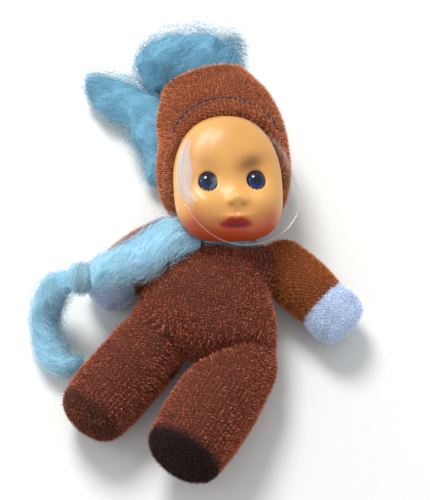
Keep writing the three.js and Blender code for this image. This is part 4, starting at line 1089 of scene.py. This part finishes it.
# Wool roving: many fine strands strewn round a line, each wavering by itself, over a soft lumpy core
def makeWoolTree():
    tree, given = newGroup("rovingAlongLine", {
        "Line": "Geometry", "Strands": "Int", "Points along": "Int", "Shortest share": "Float",
        "Longest share": "Float", "Strand radius": "Float", "Spread": "Float", "Curl size": "Float",
        "Curl reach": "Float", "Twist": "Float", "Seed": "Int", "Wool": "Material"})
    line = addNode(tree, "GeometryNodeMeshToCurve", {"Mesh": given["Line"]})
    dots = addNode(tree, "GeometryNodePoints", {"Count": given["Strands"]})
    straight = addNode(tree, "GeometryNodeCurvePrimitiveLine", {"Start": (0, 0, 0), "End": (1, 0, 0)})
    divided = addNode(tree, "GeometryNodeResampleCurve", {"Curve": straight, "Count": given["Points along"]},
                      mode="COUNT")
    strewn = addNode(tree, "GeometryNodeInstanceOnPoints", {"Points": dots, "Instance": divided})
    real = addNode(tree, "GeometryNodeRealizeInstances", {"Geometry": strewn})
    number = addNode(tree, "GeometryNodeFieldOnDomain", [addNode(tree, "GeometryNodeInputIndex")],
                     data_type="INT", domain="CURVE")
    share = addNode(tree, "GeometryNodeSplineParameter").outputs["Factor"]
    draw = []
    for k in range(5):
        seed = addNode(tree, "ShaderNodeMath", [given["Seed"], k], operation="ADD")
        draw.append(addNode(tree, "FunctionNodeRandomValue", {2: 0, 3: 1, "ID": number, "Seed": seed},
                            data_type="FLOAT"))
    # its own stretch of the line
    length = addNode(tree, "ShaderNodeMapRange",
                     [draw[0], 0, 1, given["Shortest share"], given["Longest share"]])
    spare = addNode(tree, "ShaderNodeMath", [1, length], operation="SUBTRACT")
    start = addNode(tree, "ShaderNodeMath", [draw[1], spare], operation="MULTIPLY")
    along = addNode(tree, "ShaderNodeMath", [share, length, start], operation="MULTIPLY_ADD")
    samples = []
    for name in ("wide", "high"):
        half = addNode(tree, "GeometryNodeInputNamedAttribute", {"Name": name}, data_type="FLOAT")
        samples.append(addNode(tree, "GeometryNodeSampleCurve",
                               {"Curves": line, "Value": half, "Factor": along},
                               mode="FACTOR", data_type="FLOAT"))
    ahead = samples[0].outputs["Tangent"]
    across = addNode(tree, "ShaderNodeVectorMath", [ahead, (0, 0, 1)], operation="CROSS_PRODUCT")
    across = addNode(tree, "ShaderNodeVectorMath", [across], operation="NORMALIZE")
    up = addNode(tree, "ShaderNodeVectorMath", [across, ahead], operation="CROSS_PRODUCT")
    # its own place round the line
    even = addNode(tree, "ShaderNodeMath", [draw[2]], operation="SQRT")
    stray = addNode(tree, "ShaderNodeMath", [draw[2], strand["strayPower"]], operation="POWER")
    out = addNode(tree, "ShaderNodeMath", [stray, strand["stray"], even], operation="MULTIPLY_ADD")
    out = addNode(tree, "ShaderNodeMath", [out, given["Spread"]], operation="MULTIPLY")
    turn = addNode(tree, "ShaderNodeMath", [draw[3], fullTurn], operation="MULTIPLY")
    turn = addNode(tree, "ShaderNodeMath", [share, given["Twist"], turn], operation="MULTIPLY_ADD")
    place = samples[0].outputs["Position"]
    for way, sample, wave in ((across, samples[0], "COSINE"), (up, samples[1], "SINE")):
        reach = addNode(tree, "ShaderNodeMath", [turn], operation=wave)
        for factor in (out, sample):
            reach = addNode(tree, "ShaderNodeMath", [reach, factor], operation="MULTIPLY")
        push = addNode(tree, "ShaderNodeVectorMath", {0: way, "Scale": reach}, operation="SCALE")
        place = addNode(tree, "ShaderNodeVectorMath", [place, push], operation="ADD")
    # every strand reads its own part of the noise
    away = addNode(tree, "ShaderNodeVectorMath", {0: strand["noiseWay"], "Scale": draw[4]}, operation="SCALE")
    shifted = addNode(tree, "ShaderNodeVectorMath", [place, away], operation="ADD")
    fine = addNode(tree, "ShaderNodeMath", [1, given["Curl size"]], operation="DIVIDE")
    curl = addNode(tree, "ShaderNodeTexNoise", {"Vector": shifted, "Scale": fine, "Detail": 1.5})
    middle = addNode(tree, "ShaderNodeVectorMath", [curl.outputs["Color"], (0.5, 0.5, 0.5)],
                     operation="SUBTRACT")
    waver = addNode(tree, "ShaderNodeVectorMath", {0: middle, "Scale": given["Curl reach"]},
                    operation="SCALE")
    place = addNode(tree, "ShaderNodeVectorMath", [place, waver], operation="ADD")
    curled = addNode(tree, "GeometryNodeSetPosition", {"Geometry": real, "Position": place})
    toned = addNode(tree, "GeometryNodeStoreNamedAttribute",
                    {"Geometry": curled, "Name": "tone", "Value": draw[4]}, data_type="FLOAT", domain="CURVE")
    roll = addNode(tree, "ShaderNodeMath", [draw[4], strand["roll"]], operation="MULTIPLY")
    rolled = addNode(tree, "GeometryNodeSetCurveTilt", {"Curve": toned, "Tilt": roll})
    # a flat ribbon that thins out at both ends
    ends = addNode(tree, "ShaderNodeMath", [share, 2, -1], operation="MULTIPLY_ADD")
    ends = addNode(tree, "ShaderNodeMath", [ends, 4], operation="POWER")
    thin = addNode(tree, "ShaderNodeMath", [ends, -strand["endThin"], 1], operation="MULTIPLY_ADD")
    tapered = addNode(tree, "GeometryNodeSetCurveRadius", {"Curve": rolled, "Radius": thin})
    less = addNode(tree, "ShaderNodeMath", [given["Strand radius"], -1], operation="MULTIPLY")
    left, right = (addNode(tree, "ShaderNodeCombineXYZ", [half]) for half in (less, given["Strand radius"]))
    flat = addNode(tree, "GeometryNodeCurvePrimitiveLine", {"Start": left, "End": right})
    ribbon = addNode(tree, "GeometryNodeCurveToMesh", {"Curve": tapered, "Profile Curve": flat})
    wool = addNode(tree, "GeometryNodeSetMaterial", {"Geometry": ribbon, "Material": given["Wool"]})
    addNode(tree, "NodeGroupOutput", [wool])
    return tree


woolTree = makeWoolTree()
# Stations are x, y, z, half width, half height in millimetres, and the rest says how the strands lie.
# The wisp is how much of its width the core keeps at a loose end, which is mostly stray fibres
usual = {"domes": (1, 1), "along": 12, "spread": 1.0, "twist": 0.5, "wisp": 1, "drawn": None}
loose = {**usual, "curlSize": 2.3, "curlReach": 3.4}
tuft = {**usual, "along": 9, "spread": 0.96, "curlSize": 3.2}
wool = {
    "scarf_band": {**loose, "path": [(-8.5, 18.8, 19, 4.6, 2.9), (-13.6, 16.4, 22.4, 6.2, 3.6),
                                     (-20, 10, 22, 5.7, 3.6), (-26.2, 5, 21.4, 4.9, 3.6),
                                     (-30.2, 2.5, 21, 4.1, 3.2), (-32.3, 1.5, 21, 3.4, 3)],
                   "domes": (2, 1), "strands": 7000, "shares": (0.07, 0.26), "lobe": 1.3, "lift": 0.36,
                   "drawn": ((-25, 7, 21.5), (-9, 18.5, 20))},
    "scarf_knot": {**usual, "path": [(-33.2, 1.3, 21, 3.2, 3.8), (-35, 0.8, 20.9, 3.6, 4),
                                     (-36.8, 0.5, 20.7, 3.2, 3.8)],
                   "domes": (1.2, 1.2), "strands": 2000, "shares": (0.5, 1), "curlSize": 3, "curlReach": 1.6,
                   "twist": 5.2, "lobe": 0.5, "lift": 0.42},
    "scarf_tail": {**loose, "path": [(-39.2, 1.2, 19.4, 3.4, 3), (-43.2, -1.6, 13, 4.5, 3.8),
                                     (-44.4, -6.4, 7, 4.5, 3.8), (-43, -12.2, 4.8, 4.5, 3.8),
                                     (-39.2, -16.6, 4.2, 3.6, 3), (-35.6, -16.8, 3.6, 2.5, 2.3),
                                     (-32.6, -14.6, 3.2, 1.6, 1.5)],
                   "strands": 6500, "shares": (0.06, 0.2), "twist": 0.8, "lobe": 1.5, "lift": 0.24,
                   "wisp": 0.35},
    "scarf_wrap": {**usual, "path": [(-4.6, 19, 21.2, 2.3, 2.3), (2.4, 20.3, 17.6, 1.8, 2),
                                     (8.6, 21.8, 12.8, 1.7, 2), (11.6, 22.2, 9.4, 1.5, 1.7)],
                   "strands": 900, "along": 14, "shares": (0.4, 0.9), "curlSize": 6, "curlReach": 2,
                   "lobe": 0.5, "lift": 0.3, "drawn": ((4, 15, 14), (4, 26, 20))},
    "tuft_top": {**tuft, "path": [(-33.5, 76, 10, 6.6, 6.8), (-26.5, 80, 11, 10.4, 9),
                                  (-16.5, 82, 11.5, 11, 9), (-8, 82.5, 11.5, 9.4, 8.6)],
                 "domes": (3, 5), "strands": 11000, "shares": (0.06, 0.2), "curlReach": 7, "lobe": 2.8,
                 "lift": -0.3, "wisp": 0.7},
    "tuft_side": {**tuft, "path": [(-23.5, 43, 7, 3.2, 4.5), (-26, 54, 7, 6, 5.6), (-32, 63.5, 7, 7, 5.6),
                                   (-41, 69.5, 6.5, 7, 5.3), (-49, 72, 6, 4.2, 3.9)],
                  "domes": (2, 3), "strands": 9000, "shares": (0.05, 0.16), "curlReach": 5, "twist": 0.4,
                  "lobe": 2.4, "lift": -0.26, "wisp": 0.6},
}
woolCore = {"shrink": 0.8, "endShrink": 0.6, "lumpSize": 3.6, "lump": 0.8, "lobeSize": 8, "tone": 0.35,
            "strandRadius": 0.045}
woolLook = {"dark": "#5A9CB8", "pale": "#C4E8F6", "core": "#A6D6EA", "thinness": 0.42, "cloud": 5}


# Carded wool gathers in soft lobes: near points are pushed the same way
def puffed(points, lobe, kind):
    pushes = [noise.noise_vector(Vector(p) / (woolCore["lobeSize"] * mm)) for p in points]
    return aboveTable(points + np.array(pushes) * lobe * mm, kind)


def makeWool(name, look, strandWool, coreWool, seed):
    path, domes, endShrink = np.array(look["path"], float), look["domes"], woolCore["endShrink"]
    core = path.copy()
    core[:, 3:] *= woolCore["shrink"]
    core[-1, 3:] *= look["wisp"]
    obj = stuffedForm(name, core, [dome * endShrink for dome in domes], 48, 40)
    points = readPoints(obj)
    shift = Vector((seed, 0, 0))
    lumps = [noise.fractal(Vector(p) / (woolCore["lumpSize"] * mm) + shift, 1, 2, 3) for p in points]
    points = points + readPoints(obj, "normal") * np.array(lumps)[:, None] * woolCore["lump"] * mm
    writePoints(obj, puffed(points, look["lobe"], "woolCore"))
    writeValues(obj, "tone", [woolCore["tone"]] * len(points))
    obj.data.materials.append(coreWool)
    # the strands run on over both ends
    first, last = (end / np.linalg.norm(end[:3]) for end in (path[0] - path[1], path[-1] - path[-2]))
    path = np.vstack([path[0] + first * domes[0], path, path[-1] + last * domes[1]])
    path[0, 3:], path[-1, 3:] = path[1, 3:] * endShrink, path[-2, 3:] * endShrink
    shares = np.linspace(0, 1, 60)
    line = newLine(name + "Strands", smoothAt(path[:, :3], shares) * mm)
    for way, half in zip(("wide", "high"), (smoothAt(path[:, 3:], shares) * mm).T):
        writeValues(line, way, half)
    runGroup(line, woolTree, {
        "Strands": look["strands"], "Points along": look["along"], "Shortest share": look["shares"][0],
        "Longest share": look["shares"][1], "Strand radius": woolCore["strandRadius"] * mm,
        "Spread": look["spread"], "Curl size": look["curlSize"] * mm, "Curl reach": look["curlReach"] * mm,
        "Twist": look["twist"], "Seed": seed, "Wool": strandWool})
    writePoints(line, puffed(readPoints(line), look["lobe"], "woolStrand"))
    line.data.shade_smooth()
    joinInto(obj, line)
    writeValues(obj, "lift", [look["lift"]] * len(obj.data.vertices))
    return obj


# Combed wool, dyed: soft matt fibres, paler where single ones stand out and fine enough to see through
def woolMaterial(name, pale, alpha):
    material, tree, shader = newMaterial(name)
    tone, lift = (addNode(tree, "ShaderNodeAttribute", attribute_name=value).outputs["Fac"]
                  for value in ("tone", "lift"))
    place = addNode(tree, "ShaderNodeTexCoord").outputs["Object"]
    clouds = addNode(tree, "ShaderNodeTexNoise",
                     {"Vector": place, "Scale": 1 / (woolLook["cloud"] * mm), "Detail": 4})
    level = addNode(tree, "ShaderNodeMath", [tone, 0.35, 0.1], operation="MULTIPLY_ADD")
    level = addNode(tree, "ShaderNodeMath", [clouds, 0.5, level], operation="MULTIPLY_ADD")
    # the scarf is paler than the tufts
    level = addNode(tree, "ShaderNodeMath", [level, lift], operation="ADD", use_clamp=True)
    colour = addNode(tree, "ShaderNodeMix", {0: level, 6: linear(woolLook["dark"]), 7: linear(pale)},
                     data_type="RGBA")
    setInputs(tree, shader, {"Base Color": colour, "Roughness": 0.9, "Sheen Weight": 0.1, "Alpha": alpha})
    return material


# Each piece goes with a body, or, if it is given a bend, has its placement baked into its points; its own
# parts of the model are hidden
def layPiece(obj, body, slot, *nodes, fill=None, bend=None):
    if bend:
        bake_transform(obj)
    else:
        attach(obj, body)
    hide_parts(*nodes)
    return obj


# Materials shared by the pieces
suitCloth = backingMaterial("nylonKnitBackingBrown", "#522618", "#683324", 0.8)
hoodCloth = backingMaterial("nylonKnitBackingRust", "#683218", "#94502D", 0.8)
mittenCloth = backingMaterial("nylonKnitBackingPale", "#B4C6E2", "#D6E2F4", 0.7)
suitPlush = pileMaterial("nylonPlushBrushedBrown", suitLook)
hoodPlush = pileMaterial("nylonPlushRibbedRust", hoodLook)
sleevePlush = pileMaterial("nylonPlushFineTan", sleeveLook)
mittenPlush = pileMaterial("nylonPlushRibbedPale", mittenLook)
thread = threadMaterial()
strandWool = woolMaterial("combedWoolDyedStrands", woolLook["pale"], woolLook["thinness"])
coreWool = woolMaterial("combedWoolDyedCore", woolLook["core"], 1)
seeds = {"suit": {"left": 11, "right": 12}, "sleeve": 21, "mitten": 31, "hood": 41, "wool": 50, "woolStep": 9}
print("materials made")

# Suit and legs
whole = makeSuit()
for side in bothSides:
    half = growPile(halfOfSuit(whole, side), suitPile, suitCloth, suitPlush, seeds["suit"][side])
    hip = Vector(joints["hip_" + side]["pos_m"])
    reach = Vector(suit["hipFold"][side]) * suit["hipReach"] * mm
    nodes = ["leg_skin_" + side, "leg_stuffing_" + side]
    if side == "left":
        nodes += ["torso_skin", "torso_stuffing"]
    layPiece(half, "torso", "suit_plush", *nodes, fill=0.8, bend=("leg_" + side, hip - reach, hip + reach))
    print("suit", side, len(half.data.polygons), "faces")
bpy.data.objects.remove(whole)

# Arms
for side in bothSides:
    at = armAt[side]
    sleeve = makeArmPiece("sleeve_cloth_" + side, "sleeve", at)
    growPile(sleeve, sleevePile, hoodCloth, sleevePlush, seeds["sleeve"])
    shoulder, down = at.translation, (at.to_3x3() @ Vector((0, -1, 0))) * arm["bendReach"] * mm
    layPiece(sleeve, "torso", "sleeve_plush", "sleeve_" + side, "arm_stuffing_" + side, fill=0.8,
             bend=("arm_" + side, shoulder - down, shoulder + down))
    mitten = makeArmPiece("mitten_cloth_" + side, "mitten", at)
    growPile(mitten, mittenPile, mittenCloth, mittenPlush, seeds["mitten"])
    layPiece(mitten, "arm_" + side, "mitten_plush", "mitten_" + side, fill=0.8)
print("arms made")

# Head
cap = growPile(makeHood(), hoodPile, hoodCloth, hoodPlush, seeds["hood"])
cap.name = "hood_cloth"
layPiece(cap, "head", "hood_knit", "hood", "head_stuffing", fill=0.75)
layPiece(sewHem(thread), "head", "navy_thread", "hem_stitching")
layPiece(sewCrown(thread), "head", "navy_thread", "crown_thread")
vinyl = makeFace()
vinyl.data.materials.append(faceMaterial())
layPiece(vinyl, "head", "face_vinyl", "face_mask")
bead = eyeMaterial()
eyes = {side: makeEye(side) for side in bothSides}
for side, eye in eyes.items():
    eye.data.materials.append(bead)
    layPiece(eye, "head", "eye_plastic", "eye_" + side)
clear = makeFilm(vinyl, *eyes.values())
clear.data.materials.append(filmMaterial())
layPiece(clear, "head", "film_plastic", "clear_film")
print("head made")

# Wool
for number, (name, look) in enumerate(wool.items()):
    seed = seeds["wool"] + seeds["woolStep"] * number
    roving = makeWool("roving_" + name, look, strandWool, coreWool, seed)
    bend = ("head", *(Vector(place) * mm for place in look["drawn"])) if look["drawn"] else None
    body = "torso" if name.startswith("scarf") else "head"
    layPiece(roving, body, "wool_roving", name, fill=0.3, bend=bend)
print("wool made")

# Table and light: a round key lamp from above, and a weak strip from the doll's right
stage = {
    "floor": "#ECECE8", "floorHalf": 3, "paperGrain": 3, "world": "#F4F6FA", "worldLevel": 0.72,
    "lamps": {"key": {"shape": "DISK", "size": 0.3, "energy": 5.3, "place": (-0.27, 0.42, 0.64)},
              "strip": {"shape": "RECTANGLE", "size": 0.12, "size_y": 0.3, "energy": 0.7,
                        "place": (-0.55, 0.08, 0.16)}},
}


# Matt paper: nearly white, with a faint grain
def paperMaterial():
    material, tree, shader = newMaterial("paperMattPale")
    place = addNode(tree, "ShaderNodeTexCoord").outputs["Object"]
    grain = addNode(tree, "ShaderNodeTexNoise",
                    {"Vector": place, "Scale": 1 / (stage["paperGrain"] * mm), "Detail": 3})
    shade = addNode(tree, "ShaderNodeMapRange", [grain, 0.3, 0.7, 0.985, 1])
    colour = addNode(tree, "ShaderNodeVectorMath", {0: linear(stage["floor"])[:3], "Scale": shade},
                     operation="SCALE")
    setInputs(tree, shader, {"Base Color": colour, "Roughness": 0.9})
    return material


def makeStage():
    half = stage["floorHalf"]
    corners = [(-half, -half, 0), (half, -half, 0), (half, half, 0), (-half, half, 0)]
    floor = newObject("floor", corners, [(0, 1, 2, 3)])
    floor.data.materials.append(paperMaterial())
    world = bpy.data.worlds.new("studio")
    world.use_nodes = True
    setInputs(world.node_tree, world.node_tree.nodes["Background"],
              {"Color": linear(stage["world"]), "Strength": stage["worldLevel"]})
    scene.world = world
    for name, look in stage["lamps"].items():
        lamp = bpy.data.lights.new(name, "AREA")
        for key, value in look.items():
            if key != "place":
                setattr(lamp, key, value)
        light = bpy.data.objects.new(name, lamp)
        light.location = look["place"]
        light.rotation_euler = (-Vector(look["place"])).to_track_quat("-Z", "Y").to_euler()
        scene.collection.objects.link(light)


makeStage()
print("stage set")
